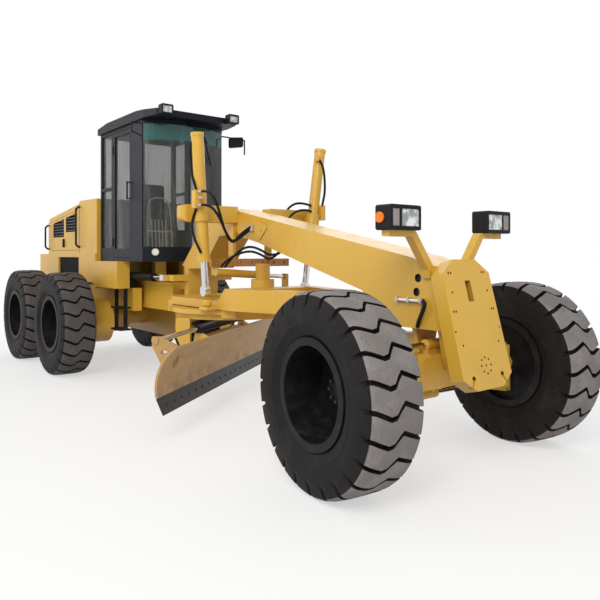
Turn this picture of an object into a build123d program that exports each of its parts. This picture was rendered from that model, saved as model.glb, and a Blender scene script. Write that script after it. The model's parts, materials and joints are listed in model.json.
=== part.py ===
"""Motor grader: an articulated road grader with six wheels, a gooseneck front frame and a turning blade.

Millimetres, X forward, Y to the machine's left, Z up. Every piece is modelled with the front axle at
X = 0 and the ground at Z = 0, and write() moves it so that the origin is under the machine's middle.
"""
from build123d import *
from math import asin, atan2, cos, degrees, hypot, pi, radians, sin, sqrt, tan
import os

# Fits
fit = 0.3                 # running clearance of pins and faces that touch
gap = 5                   # clearance of pieces that move past each other
eye_gap = 16              # room at the open end of each cylinder rod

# Wheels
tyre_radius = 675
tyre_width = 440
seat_radius = 330         # where the tyre's bead sits on the rim
flange_radius = 370
rim_width = 390
track = 2080
front_to_mid = 5440
mid_to_rear = 1660
lug_count = 24
groove_width = 26
groove_depth = 36
groove_skew = 60          # how far a groove leans from one shoulder to the other
tread_half = 150
sidewall_radius = 560
bead_half = 165
disc_inset = 127          # wheel disc, inboard of the wheel's centre plane
disc_thickness = 16
hub_radius = 105
hub_length = 120
spindle_radius = 60

# Overall reach behind the rear axle
rear_reach = 950

# Rest pose
steer_angle = -5.9        # front wheels, turned to the machine's right
blade_angle = 37.0        # blade about the vertical, right end forward
cut_height = 262          # cutting edge above the ground

# Front axle
axle_height = 715
axle_depth = 250
axle_half_thick = 100
lean_y, lean_z = 640, 640
lean_pin_radius = 30
boss_radius = 70
cheek = 30
king_y = 797
king_pin_radius = 28
king_radius = 46
king_low, king_high = 545, 800
lug_thick = 45
lug_radius = 62
arm_back, arm_in = 180, 50
arm_low, arm_high = 440, 480
steer_rod_x = -240
steer_rod_half = 700
steer_rod_radius = 20
steer_tube_radius = 42
steer_tube_half = 260
lean_bar_z = 905
lean_bar_radius = 22
lean_tube_half = 150

# Front frame
beam_half = 200
nose_bottom = 1030
nose_foot = 870
beam_top = 2084
leg_front, leg_rear = -3560, -3660
hinge_x = -3780
hinge_pin_radius = 45
hinge_radius = 110
ear_thick = 40
upper_tongue = (1160, 1220)
lower_tongue = (935, 995)
head_low = 890            # underside of the rear head and of the front leg
pivot_z = 790
pivot_radius = 40
pivot_plate = 40

# Counterweight plate on the nose
plate_thick = 110
plate_lean = 14.7
plate_points = ((132, 1548), (272, 1446), (283, 720), (153, 637))
plate_top_x = 239

# Lamps on the nose
lamp_x, lamp_y, lamp_z = 100, 545, 1840
lamp_size = (145, 310, 175)

# Lift arms and link bar
arm_x = -2550
arm_half = 80
arm_reach = 860
arm_height = beam_top - 84
lift_x = -2360
lift_y = 710
lift_z = arm_height - 25
lift_tube_radius = 60
lift_rod_radius = 35
lift_tube_top = lift_z + 808
lift_tube_low = lift_z - 464
link_z = 1500
link_half = 500
link_pitch = 145
link_hole_radius = 14
shift_tube_length = 540
shift_tube_radius = 40
shift_rod_radius = 22
shift_stroke = 240        # centre shift rod, each way

# Drawbar and its ball
ball_x, ball_z = -360, 860
ball_radius = 66
ball_pin_radius = 24
drawbar_half = 530
drawbar_top, drawbar_low = 1250, 1040
plate_top = 1125
lift_pin_y = 575
lift_pin_z = 1100
eye_radius = 55

# Circle and blade
circle_x = -2800
ledge_radius = 700
ring_radius = 640
bore_radius = 560
circle_low, circle_high = 925, 1030
ledge_thick = 45
shoe_angles = (38, 142, 218, 322)
blade_offset = 75         # cutting edge ahead of the circle's centre
blade_length = 3660
blade_top_z = 822
edge_height = 150
edge_thick = 20
board_thick = 22
pitch_n, pitch_z = -200, 430
pitch_pin_radius = 30
arm_front = -260          # front edge of the circle's arms
rail_back = -75           # rear face of the moldboard's lower rail
shift_n, shift_z = -140, 836

# Rear frame
head_half = 220
rail_half = 400
rail_thick = 120
rail_low, rail_high = 850, 1150
rail_front = -4680
cross_top = 1110
body_half = 620
body_low, body_high = 1200, 1600
body_front = -5430
body_rear = -7930
box_front = -4630
box_low = 1150
hood_half = 600
hood_rear = -7550
hood_step = -6110
hood_top = 2370
tail_top = 2170
hood_skin = 20
door_front, door_rear = -6170, -7400
tandem_inner, tandem_outer = 460, 780
tandem_radius = 285
axle_tube_radius = 170

# Cab
cab_half = 560
cab_rear = -5390
cab_corner = -4050
cab_nose = -3870
cab_floor = 1500
sill_z = 1680
door_sill = 45            # sill of the door opening, above the underside of the cab
cab_top = 3225
roof_thick = 115
head_rail = 45
wall = 40
door_rear_x, door_front_x = -4955, -4375
glass = 8

mid_x = -front_to_mid
rear_x = -front_to_mid - mid_to_rear
wheel_y = track / 2
roof_top = cab_top + roof_thick
quarter_bar = cab_top - 785
SIDES = {"right": -1, "left": 1}

board_half_width = blade_length / 2
drawbar_yaw = degrees(asin(blade_offset * sin(radians(blade_angle)) / (ball_x - circle_x)))
ball_place = Pos(ball_x, 0, 0) * Rot(0, 0, drawbar_yaw) * Pos(-ball_x, 0, 0)
circle_centre = (ball_place * Pos(circle_x, 0, 0)).position
blade_place = Pos(circle_centre.X, circle_centre.Y, 0) * Rot(0, 0, blade_angle)


def wheel_place(side, x, turn=0, pivot_y=0):
    """Middle of a wheel, turned about its king pin where it steers."""
    return Pos(x, side * pivot_y, 0) * Rot(0, 0, turn) * Pos(0, side * (wheel_y - pivot_y), tyre_radius)


def write(shape, name):
    """One node, moved so that the machine's middle is at the origin."""
    export_step(Pos(-middle_x, 0, 0) * shape, f"parts/{name}.step")


def group(*shapes):
    """Solids of one node that don't touch."""
    solids = []
    for shape in shapes:
        solids.extend(shape.solids())
    return Compound(solids)


def block(x, y, z):
    """A box from three (low, high) pairs."""
    return Pos((x[0] + x[1]) / 2, (y[0] + y[1]) / 2, (z[0] + z[1]) / 2) * Box(
        x[1] - x[0], y[1] - y[0], z[1] - z[0])


def mirrored(shape):
    return mirror(shape, Plane.XZ)


def on_side(shape, side):
    """A shape modelled on the left, for the side asked for."""
    return shape if side > 0 else mirrored(shape)


def both(shape):
    return group(shape, mirrored(shape))


def slab_xz(points, y, radius=0):
    """An outline in X and Z, as thick as the (low, high) pair y."""
    wire = Polyline(*[(x, y[0], z) for x, z in points], close=True)
    face = make_face(wire)
    if radius:
        face = fillet(face.vertices(), radius)
    return extrude(face, y[1] - y[0], dir=(0, 1, 0))


def slab_xy(points, z, radius=0):
    wire = Polyline(*[(x, y, z[0]) for x, y in points], close=True)
    face = make_face(wire)
    if radius:
        face = fillet(face.vertices(), radius)
    return extrude(face, z[1] - z[0], dir=(0, 0, 1))


def slab_yz(points, x, radius=0):
    wire = Polyline(*[(x[0], y, z) for y, z in points], close=True)
    face = make_face(wire)
    if radius:
        face = fillet(face.vertices(), radius)
    return extrude(face, x[1] - x[0], dir=(1, 0, 0))


def rod(start, end, radius):
    """A round bar from one point to another."""
    start, end = Vector(start), Vector(end)
    plane = Plane(origin=start, z_dir=(end - start).normalized())
    return extrude(plane * Circle(radius), (end - start).length)


def pipe(start, end, radius, bore):
    return rod(start, end, radius) - rod(start, end, bore)


def along_x(x, y, z, radius):
    return rod((x[0], y, z), (x[1], y, z), radius)


def along_y(x, y, z, radius):
    return rod((x, y[0], z), (x, y[1], z), radius)


def along_z(x, y, z, radius):
    return rod((x, y, z[0]), (x, y, z[1]), radius)


def bent_bar(points, radius):
    """A round bar through the points, its corners rounded off."""
    bar = None
    for start, end in zip(points, points[1:]):
        piece = rod(start, end, radius)
        bar = piece if bar is None else bar + piece
    for corner in points[1:-1]:
        bar += Pos(*corner) * ball_shape(radius * 0.95)
    return bar


def hinge_barrels(start, along, places, radius):
    """Three-part hinges about an axis: the moving middles, the fixed ends and the room for each."""
    start, along = Vector(start), Vector(along).normalized()
    middles, ends, middle_room, end_room = [], [], [], []
    for place in places:
        centre = start + along * place
        middles.append(rod(centre - along * 25, centre + along * 25, radius))
        middle_room.append(rod(centre - along * 26, centre + along * 26, radius + 1))
        for way in (-1, 1):
            near, far = centre + along * way * (25 + fit), centre + along * way * 55
            ends.append(rod(near, far, radius))
            end_room.append(rod(centre + along * way * (25 - fit), centre + along * way * 56, radius + 1))
    return [Compound(shapes) for shapes in (middles, ends, middle_room, end_room)]


def flats(radius, y):
    """Polygon across the Y axis with one flat for each lug."""
    reach, pitch = radius / cos(pi / lug_count), 2 * pi / lug_count
    corners = [(step + 0.5) * pitch for step in range(lug_count)]
    return make_face(Polyline(*[(reach * cos(turn), y, reach * sin(turn)) for turn in corners], close=True))


def tapered(radius, y, end_radius, end_y):
    return loft([flats(radius, y), flats(end_radius, end_y)], ruled=True)


def tyre():
    """A lugged tyre about the Y axis, centred on the origin and standing on one of its lugs."""
    half = tyre_width / 2
    body = tapered(tyre_radius, -tread_half, tyre_radius, tread_half)
    body += tapered(tyre_radius, tread_half, sidewall_radius, half)
    body += tapered(sidewall_radius, -half, tyre_radius, -tread_half)
    seat = seat_radius + fit
    body -= tapered(seat, -bead_half - 1, seat, bead_half + 1)
    body -= tapered(seat, bead_half, sidewall_radius - 80, half)
    body -= tapered(sidewall_radius - 80, -half, seat, -bead_half)
    end, lean, wide = half + 10, groove_skew / 2, groove_width / 2
    outline = [(-lean - wide, -end), (-lean + wide, -end), (lean + wide, end), (lean - wide, end)]
    floor = Polyline(*[(x, y, tyre_radius - groove_depth) for x, y in outline], close=True)
    groove = extrude(make_face(floor), 2 * groove_depth, dir=(0, 0, 1))
    pitch = 360 / lug_count
    return body - [Rot(0, (step + 0.5) * pitch, 0) * groove for step in range(lug_count)]


def rim():
    """A deep-dished rim about the Y axis with its outer face towards +Y."""
    edge = rim_width / 2
    barrel = along_y(0, (-edge, edge), 0, seat_radius) - along_y(0, (-edge, edge), 0, seat_radius - 14)
    ring = along_y(0, (edge - 15, edge), 0, flange_radius) - along_y(0, (edge - 15, edge), 0, seat_radius - 14)
    disc_y = (-disc_inset - disc_thickness / 2, -disc_inset + disc_thickness / 2)
    disc = along_y(0, disc_y, 0, seat_radius - 10)
    low = disc_y[0] - 15
    hub = along_y(0, (low, low + hub_length), 0, hub_radius)
    hub = chamfer(hub.edges().group_by(Axis.Y)[-1], 12)
    bore = along_y(0, (low, low + hub_length - 30), 0, spindle_radius + fit)
    return barrel + ring + mirrored(ring) + disc + hub - bore


def write_wheel(name, side, x, turn=0, pivot_y=0):
    """Rim and tyre of one wheel, turned about its king pin where it steers."""
    place = wheel_place(side, x, turn, pivot_y)
    write(place * on_side(rim(), side), f"{name}_rim")
    write(place * on_side(tyre(), side), f"{name}_tyre")


def front_axle():
    """Beam axle with its centre boss, lean pins and the two cross cylinders."""
    top, low = axle_height + axle_depth / 2, axle_height - axle_depth / 2
    half = [(0, top), (190, top), (lean_y - 70, lean_z + 75), (lean_y, lean_z + boss_radius),
            (lean_y, lean_z - boss_radius), (420, low), (0, low)]
    outline = half + [(-y, z) for y, z in reversed(half[1:-1])]
    beam = slab_yz(outline, (-axle_half_thick, axle_half_thick))
    for side in SIDES.values():
        y = side * lean_y
        beam += along_x((-axle_half_thick, axle_half_thick), y, lean_z, boss_radius)
        reach = axle_half_thick + gap + cheek
        beam += along_x((-reach, reach), y, lean_z, lean_pin_radius)
    beam -= along_x((-axle_half_thick, axle_half_thick), 0, pivot_z, pivot_radius + fit)
    tube_half = (-steer_tube_half, steer_tube_half)
    rod_z = (arm_low + arm_high) / 2
    beam += along_y(steer_rod_x, tube_half, rod_z, steer_tube_radius)
    for side in SIDES.values():
        profile = [(steer_rod_x - 30, rod_z), (steer_rod_x + 30, rod_z), (-axle_half_thick + 10, low),
                   (-axle_half_thick + 10, axle_height), (-axle_half_thick - 10, axle_height)]
        beam += slab_xz(profile, sorted((side * 150, side * 190)))
    beam -= along_y(steer_rod_x, tube_half, rod_z, steer_rod_radius + fit)
    lean_half = (-lean_tube_half, lean_tube_half)
    beam += along_y(0, lean_half, lean_bar_z, lean_bar_radius + 20)
    beam += block((-30, 30), lean_half, (top - 10, lean_bar_z))
    beam -= along_y(0, lean_half, lean_bar_z, lean_bar_radius + fit)
    return beam


def lean_yoke():
    """Left fork between the axle's end and the king pin."""
    inner = axle_half_thick + gap
    outer = inner + cheek
    web_y = (lean_y + boss_radius + 12, lean_y + boss_radius + 35)
    yoke = block((-outer, outer), web_y, (king_low - lug_thick, king_high + lug_thick))
    for low, high in ((-outer, -inner), (inner, outer)):
        arm = block((low, high), (lean_y, web_y[1]), (lean_z - 60, lean_z + 60))
        arm += along_x((low, high), lean_y, lean_z, 60)
        yoke += arm - along_x((low, high), lean_y, lean_z, lean_pin_radius + fit)
    for low in (king_low - lug_thick, king_high):
        z = (low, low + lug_thick)
        yoke += block((-lug_radius, lug_radius), (web_y[0], king_y), z) + along_z(0, king_y, z, lug_radius)
    yoke += along_z(0, king_y, (king_low - lug_thick, king_high + lug_thick + 12), king_pin_radius)
    tab = (lean_bar_radius + gap, lean_bar_radius + gap + 25)
    outline = [(web_y[1], king_high), (web_y[1], king_high + 60), (lean_y + 75, lean_bar_z + 40),
               (lean_y + 25, lean_bar_z + 40), (lean_y + 25, lean_bar_z - 40), (web_y[0], king_high - 30)]
    return yoke + slab_yz(outline, tab)


def knuckle():
    """Left steering knuckle: king pin barrel, spindle and steering arm, wheels straight ahead."""
    barrel = along_z(0, king_y, (king_low + fit, king_high - fit), king_radius)
    spindle_end = wheel_y - disc_inset - disc_thickness / 2 - 15 + hub_length - 30 - gap
    spindle = along_y(0, (king_y, spindle_end), tyre_radius, spindle_radius)
    plate_y = (king_y + lug_radius + gap, king_y + lug_radius + gap + 20)
    lever = block((-45, 45), plate_y, (arm_low, tyre_radius))
    arm = [(45, plate_y[1]), (-45, plate_y[1]), (-arm_back - 20, king_y - arm_in + 10),
           (-arm_back + 10, king_y - arm_in - 20), (45, plate_y[0] - 40)]
    lever += slab_xy(arm, (arm_low, arm_high))
    lever += along_z(-arm_back, king_y - arm_in, (arm_low, arm_high), 24)
    bore = along_z(0, king_y, (king_low, king_high), king_pin_radius + fit)
    return barrel + spindle + lever - bore


def front_gear():
    write(front_axle(), "front_axle")
    for name, side in SIDES.items():
        write(on_side(lean_yoke(), side), f"lean_yoke_{name}")
        turn = Pos(0, side * king_y, 0) * Rot(0, 0, steer_angle) * Pos(0, -side * king_y, 0)
        write(turn * on_side(knuckle(), side), f"knuckle_{name}")
        write_wheel(f"front_wheel_{name}", side, 0, steer_angle, king_y)
    shift = arm_back * sin(radians(-steer_angle))
    ends = [side * steer_rod_half + shift for side in SIDES.values()]
    bar = along_y(steer_rod_x, ends, (arm_low + arm_high) / 2, steer_rod_radius)
    for end in ends:
        bar += along_z(steer_rod_x, end, (arm_low - 6, arm_high + 6), 24)
    write(bar, "steering_rod")
    bar = along_y(0, (-lean_y - 30, lean_y + 30), lean_bar_z, lean_bar_radius)
    write(bar, "lean_bar")


def ear(z, half, x):
    """One horizontal hinge plate that ends round the articulation pin."""
    plate = block(x, (-half, half), z) + along_z(hinge_x, 0, z, hinge_radius)
    return plate


def plate_x(z):
    """Front face of the counterweight plate at a height."""
    return plate_top_x + (plate_points[0][1] - z) * tan(radians(plate_lean))


def nose_x(z):
    """Front of the nose, against the back of the plate."""
    return plate_x(z) - (plate_thick + fit) / cos(radians(plate_lean))


def front_frame():
    """Gooseneck box beam with its leg to the articulation hinge and its nose over the axle."""
    outline = [(-3720, 1450), (-3040, beam_top), (-2700, beam_top - 1), (-110, 1568), (nose_x(1500), 1500),
               (nose_x(nose_bottom), nose_bottom), (-420, nose_bottom), (-620, 1290), (-2100, 1700), (-2560, 1800),
               (-2860, 1790), (-3010, 1640), (-3200, 1430), (leg_front, 1420), (leg_front, head_low),
               (leg_rear, head_low), (leg_rear, 1450)]
    frame = slab_xz(outline, (-beam_half, beam_half))
    foot = [(160, nose_bottom + 10), (nose_x(nose_foot) - 50, nose_foot), (nose_x(nose_foot), nose_foot),
            (nose_x(nose_bottom + 10), nose_bottom + 10)]
    frame += slab_xz(foot, (-150, 150))
    doubler = [(-2790, 2010), (-2700, 2050), (-1990, 1895), (-1950, 1850), (-2080, 1730), (-2560, 1830),
               (-2790, 1830)]
    for side in SIDES.values():
        frame += slab_xz(doubler, sorted((side * (beam_half - 5), side * (beam_half + 12))), 25)
        for x, z in ((-22, 1408), (-37, 1303)):
            frame -= along_y(x, sorted((side * (beam_half - 25), side * (beam_half + 5))), z, 32)
    tongues = (upper_tongue, lower_tongue)
    for low, high in tongues:
        for z in ((low - gap - ear_thick, low - gap), (high + gap, high + gap + ear_thick)):
            frame += ear(z, hinge_radius, (hinge_x, leg_rear))
    pin = (lower_tongue[0] - gap - ear_thick - 10, upper_tongue[1] + gap + ear_thick + 10)
    frame += along_z(hinge_x, 0, pin, hinge_pin_radius)
    for low in (-axle_half_thick - gap - pivot_plate, axle_half_thick + gap):
        x = (low, low + pivot_plate)
        leg = [(-130, nose_bottom), (-75, pivot_z), (-40, pivot_z - 70), (40, pivot_z - 70), (75, pivot_z),
               (130, nose_bottom)]
        frame += slab_yz(leg, x)
    reach = axle_half_thick + gap + pivot_plate + 10
    frame += along_x((-reach, reach), 0, pivot_z, pivot_radius)
    root_x = -axle_half_thick - gap - pivot_plate
    frame += block((ball_x + ball_radius + gap, root_x), (-60, 60), (ball_z - 105, ball_z + 105))
    for z in ((ball_z - 105, ball_z - 80), (ball_z + 80, ball_z + 105)):
        frame += block((ball_x, root_x), (-50, 50), z) + along_z(ball_x, 0, z, 50)
    frame += along_z(ball_x, 0, (ball_z - 115, ball_z + 115), ball_pin_radius)
    for side in SIDES.values():
        y = sorted((side * (beam_half - 10), side * 400))
        frame += block((hinge_x + 25, leg_front), y, (1275, 1345)) + along_z(
            hinge_x + 60, side * 400, (1275, 1345), 45)
    return frame + lamp_brackets()


def counterweight():
    """Eight-sided plate that leans back over the nose."""
    half = [(y, z) for y, z in plate_points]
    outline = half + [(-y, z) for y, z in reversed(half)]
    wire = Polyline(*[(plate_x(z), y, z) for y, z in outline], close=True)
    lean = radians(plate_lean)
    plate = extrude(make_face(wire), plate_thick, dir=(-cos(lean), 0, -sin(lean)))
    normal = Vector(cos(lean), 0, sin(lean))

    def recess(y, z, radius, depth):
        face = Vector(plate_x(z), y, z)
        return rod(face - normal * depth, face + normal * 10, radius)

    plate -= block((plate_x(1244) - 90, plate_x(1244) + 40), (-40, 24), (1244, 1394))
    for side in SIDES.values():
        plate -= recess(side * 167, 720, 20, 45)
        slot = [recess(side * (167 + 6 * step), 720 - 11 * step, 9, 45) for step in range(1, 6)]
        for piece in slot:
            plate -= piece
        for y, z in ((180, 1452), (206, 1452), (206, 1316), (208, 1182), (234, 1182), (257, 1046), (208, 949)):
            plate -= recess(side * y, z, 9, 20)
    return plate


def headlamps():
    """Square lamps with a narrow and a wide lens in front and a round marker on the outer end."""
    dx, dy, dz = lamp_size
    lamp = Pos(lamp_x, lamp_y, lamp_z) * Box(dx, dy, dz)
    lamp = chamfer(lamp.edges().filter_by(Axis.X), 12)
    front, outer = lamp_x + dx / 2, lamp_y + dy / 2
    lenses = []
    for low, high in ((lamp_y - dy / 2 + 22, lamp_y + 42), (lamp_y + 62, outer - 22)):
        z = (lamp_z - dz / 2 + 28, lamp_z + dz / 2 - 28)
        lamp -= block((front - 14, front), (low, high), z)
        inset = [(a + fit, b - fit) for a, b in ((low, high), z)]
        lenses.append(block((front - 14 + fit, front - 5), *inset))
    lamp += along_y(lamp_x - 25, (outer - 2, outer + 12), lamp_z, 38)
    return both(group(lamp, *lenses))


def lamp_brackets():
    low = lamp_z - lamp_size[2] / 2
    rise = [(beam_half - 10, 1410), (beam_half - 10, 1500), (lamp_y - 165, low - fit), (lamp_y + 110, low - fit),
            (lamp_y + 110, low - 42), (lamp_y - 128, low - 42), (beam_half + 40, 1470), (beam_half + 25, 1410)]
    bracket = slab_yz(rise, (lamp_x - 55, lamp_x + 15))
    return bracket + mirrored(bracket)


def lift_arms():
    """Cross arms on the gooseneck, joined below the beam by the link bar with its row of holes."""
    side = block((arm_x - arm_half, arm_x + arm_half), (beam_half + 12, arm_reach), (arm_height - 85, arm_height + 85))
    side = fillet(side.edges().group_by(Axis.Y)[-1], 60)
    side += block((arm_x - 45, arm_x + 45), (beam_half + 15, beam_half + 50), (link_z - 40, arm_height))
    side += along_x((arm_x, lift_x - lift_tube_radius + 5), lift_y, lift_z, 28)
    arms = side + mirrored(side)
    bar = block((arm_x - 10, arm_x + 30), (-link_half, link_half), (link_z - 42, link_z + 42))
    for step in range(-3, 4):
        bar -= along_x((arm_x - 10, arm_x + 30), step * link_pitch, link_z, link_hole_radius)
    return arms + bar


def lift_line(side):
    """Points on a lift cylinder's axis: its top, its trunnion and the drawbar's stud below it."""
    stud = (ball_place * Pos(lift_x, side * (lift_pin_y + 45), lift_pin_z)).position
    pivot = Vector(lift_x, side * lift_y, lift_z)
    stud = Vector(lift_x, stud.Y, stud.Z)
    axis = (pivot - stud).normalized()
    return pivot, stud, axis


def lift_cylinder(side):
    pivot, stud, axis = lift_line(side)
    top = pivot + axis * (lift_tube_top - lift_z)
    low = pivot - axis * (lift_z - lift_tube_low)
    tube = rod(low, top, lift_tube_radius)
    collar = rod((pivot - axis * 60), (pivot + axis * 60), lift_tube_radius + 18)
    gland = rod(low, (low + axis * 60), lift_tube_radius + 8)
    cap = rod((top - axis * 35), top, lift_tube_radius + 5)
    tube = tube + collar + gland + cap
    tube -= along_x((arm_x, lift_x - lift_tube_radius + 5 + fit), side * lift_y, lift_z, 28 + fit)
    inner = low + axis * (lift_tube_top - lift_tube_low - 40)
    tube -= rod(low, inner, lift_rod_radius + fit)
    eye = stud + axis * (eye_radius * 2 + eye_gap)
    stem = rod(eye, (inner - axis * 220), lift_rod_radius)
    ring = Pos(*eye) * Rot(90, 0, 0) * Cylinder(eye_radius, 60)
    return tube, stem + ring


def lift_gear():
    write(lift_arms(), "lift_arms")
    for name, side in SIDES.items():
        tube, stem = lift_cylinder(side)
        write(tube, f"lift_tube_{name}")
        write(stem, f"lift_rod_{name}")
    start, end = centre_shift_line()
    along = (end - start).normalized()
    tube_end = start + along * shift_tube_length
    tube = rod(start, tube_end, shift_tube_radius)
    tube += block((arm_x - 10, arm_x + 30), (start.Y, start.Y + 50), (start.Z - 30, link_z - 42 - fit))
    tube += block((arm_x + 25, start.X), (start.Y, start.Y + 50), (start.Z - 30, start.Z + 30))
    tube -= rod(start + along * 40, tube_end, shift_rod_radius + fit)
    write(tube, "centre_shift_tube")
    stem = rod(start + along * (shift_tube_length - shift_stroke - 30), end, shift_rod_radius)
    write(stem, "centre_shift_rod")


def centre_shift_line():
    """Axis of the centre shift cylinder: its pivot on the link bar and its rod's end by the drawbar."""
    x = arm_x + 30 + shift_tube_radius + gap
    return Vector(x, -480, 1405), Vector(x, 370, 1345)


def ball_shape(radius):
    """A ball turned from flats, so that its mesh stays light."""
    turns = [radians(angle) for angle in (-90, -54, -18, 18, 54, 90)]
    reach = radius / cos(radians(18))
    points = [(reach * cos(turn), 0, reach * sin(turn)) for turn in turns[1:-1]]
    low, high = points[0][2], points[-1][2]
    return revolve(make_face(Polyline((0, 0, low), *points, (0, 0, high), close=True)), Axis.Z)


def drawbar_ball():
    ball = Pos(ball_x, 0, ball_z) * ball_shape(ball_radius)
    ball -= along_z(ball_x, 0, (ball_z - 100, ball_z + 100), ball_pin_radius + fit)
    for low, high in ((-ball_radius, -32), (32, ball_radius)):
        ball -= along_y(ball_x, (low, high), ball_z, 20 + fit)
    return ball


def drawbar():
    """A-frame from the ball to the plate over the circle, before it is swung to its place."""
    side = [(-500, 110), (-700, 120), (-2000, drawbar_half - 10), (-2250, drawbar_half), (-3250, drawbar_half),
            (-3400, 400)]
    plan = slab_xy(side + [(x, -y) for x, y in reversed(side)], (700, 1400))
    profile = [(-500, 805), (-1500, drawbar_low), (-3400, drawbar_low), (-3400, plate_top), (-2300, plate_top),
               (-2180, drawbar_top), (-1350, drawbar_top), (-500, 915)]
    bar = plan & slab_xz(profile, (-drawbar_half - 10, drawbar_half + 10))
    window = [(-1000, 35), (-1900, 340), (-1900, -340), (-1000, -35)]
    bar -= slab_xy(window, (700, 1400), 20)
    bar -= along_z(circle_x, 0, (drawbar_low, drawbar_top), 330)
    for side in SIDES.values():
        y = sorted((side * (ball_radius + 8), side * (ball_radius + 36)))
        bar += block((-540, ball_x), y, (ball_z - 48, ball_z + 48))
        bar += along_y(ball_x, y, ball_z, 48)
        bar += along_y(ball_x, sorted((side * 34, side * (ball_radius + 10))), ball_z, 20)
        pin = sorted((side * (drawbar_half - 5), side * lift_pin_y))
        bar += block((lift_x - 70, lift_x + 70), sorted((side * (drawbar_half - 30), side * (lift_pin_y + 90))),
                     (drawbar_low, lift_pin_z - 30))
        bar += Pos(lift_x, side * (lift_pin_y + 45), lift_pin_z) * ball_shape(45)
    low, high = circle_high - ledge_thick, circle_high
    for angle in shoe_angles:
        turn = Pos(circle_x, 0, 0) * Rot(0, 0, angle)
        shoe = block((ring_radius + gap, ledge_radius + 50), (-70, 70), (low - fit - 30, low - fit))
        shoe += block((ledge_radius + gap, ledge_radius + 50), (-70, 70), (low - fit - 30, drawbar_low + 20))
        shoe += block((ledge_radius - 160, ledge_radius + 50), (-70, 70), (drawbar_low, drawbar_low + 40))
        bar += turn * shoe
    drive = along_z(circle_x + bore_radius - 30, 0, (drawbar_low, 1330), 120)
    drive += along_z(circle_x + bore_radius - 30, 0, (1330, 1490), 75)
    bar += drive
    end = centre_shift_line()[1]
    lug_y = end.Y + eye_gap - (ball_x - end.X) * sin(radians(-drawbar_yaw))
    bar += block((end.X - 20, end.X + 50), (lug_y, lug_y + 40), (plate_top - 20, end.Z + 30))
    return bar


def circle():
    """Turning ring with the two arms that carry the blade, in the blade's own frame."""
    ring = Pos(0, 0, (circle_low + circle_high) / 2) * Cylinder(ring_radius, circle_high - circle_low)
    ring += along_z(0, 0, (circle_high - ledge_thick, circle_high), ledge_radius)
    ring -= along_z(0, 0, (circle_low, circle_high), bore_radius)
    top = circle_low + 10
    profile = [(-420, top), (-420, 760), (pitch_n - 60, pitch_z - 20), (pitch_n, pitch_z - 55),
               (pitch_n + 50, pitch_z), (pitch_n + 15, pitch_z + 55), (arm_front, 560), (arm_front, top)]
    for side in SIDES.values():
        y = sorted((side * 560, side * 600))
        arm = slab_xz(profile, y)
        ring += block((-420, arm_front), sorted((side * 380, side * 600)), (circle_low - 20, top))
        ring += arm - along_y(pitch_n, y, pitch_z, pitch_pin_radius + fit)
    return ring + block((-420, -370), (-580, 580), (circle_low - 60, top))


def board_outline():
    """Arc of the moldboard's front face from the cutting edge's top to its own top, as (n, z)."""
    return (-65, cut_height + 135), (-52, cut_height + 340), (110, blade_top_z)


def carrier():
    """Tilt frame that hangs on the circle's arms and guides the moldboard's rails."""
    frame = None
    for side in SIDES.values():
        y = sorted((side * 610, side * 650))
        profile = [(pitch_n - 45, pitch_z - 45), (rail_back - fit, pitch_z - 45), (rail_back - fit, pitch_z + 60),
                   (-110, pitch_z + 90), (-110, 640), (-5, 670), (-5, 730), (-110, 790), (-180, 790),
                   (pitch_n - 45, pitch_z + 45)]
        plate = slab_xz(profile, y)
        plate += along_y(pitch_n, sorted((side * 550, side * 655)), pitch_z, pitch_pin_radius)
        frame = plate if frame is None else frame + plate
    return frame + along_y(-140, (-640, 640), 740, 20)


def blade_gear():
    write(ball_place * drawbar_ball(), "drawbar_ball")
    write(ball_place * drawbar(), "drawbar")
    write(blade_place * circle(), "circle")
    write(blade_place * carrier(), "blade_carrier")
    write(blade_place * moldboard(), "moldboard")
    write(blade_place * cutting_edge(), "cutting_edge")
    tube, stem = side_shift()
    write(blade_place * tube, "side_shift_tube")
    write(blade_place * stem, "side_shift_rod")


def moldboard():
    """Curved blade with the two rails on its back and the end bracket for the side shift rod."""
    low, mid, top = board_outline()
    low, mid, top = [(n + blade_offset, z) for n, z in (low, mid, top)]
    front = ThreePointArc((low[0], 0, low[1]), (mid[0], 0, mid[1]), (top[0], 0, top[1]))
    back = ThreePointArc((top[0] - board_thick, 0, top[1] + 4), (mid[0] - board_thick, 0, mid[1]),
                         (low[0] - board_thick, 0, low[1] - 4))
    ends = [Line(front @ 1, back @ 0), Line(back @ 1, front @ 0)]
    face = make_face([front, ends[0], back, ends[1]])
    board = Pos(0, -board_half_width, 0) * extrude(face, blade_length, dir=(0, 1, 0))
    rail_y = (-board_half_width + 350, board_half_width - 350)
    board += block((rail_back, low[0] - board_thick + 5), rail_y, (pitch_z - 12, pitch_z + 28))
    board += block((0, 70), rail_y, (682, 722))
    y = -board_half_width + 250
    bracket = [(70, 640), (20, 600), (-80, 620), (shift_n - 34, shift_z - 50), (shift_n - 34, shift_z + 34),
               (shift_n + 34, shift_z + 34), (60, 800), (95, 770)]
    plate = slab_xz(bracket, (y, y + 30))
    for low, high in ((-85, -30), (0, 45)):
        plate -= block((low, high), (y, y + 30), (725, 750))
    board += plate + along_y(shift_n, (y - 12, y + 30), shift_z, 34)
    foot = block((-60, 0), (y - 45, y + 5), (640, 670))
    return board + foot


def cutting_edge():
    """Steel edge bolted below the moldboard."""
    low, mid, top = board_outline()
    foot = (blade_offset, cut_height)
    head = (low[0] + blade_offset, low[1])
    slope = atan2(head[1] - foot[1], head[0] - foot[0])
    across = (edge_thick * sin(slope), -edge_thick * cos(slope))
    points = [foot, head, (head[0] - across[0], head[1] - across[1]), (foot[0] - across[0], foot[1] - across[1])]
    return slab_xz(points, (-board_half_width, board_half_width))


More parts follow.
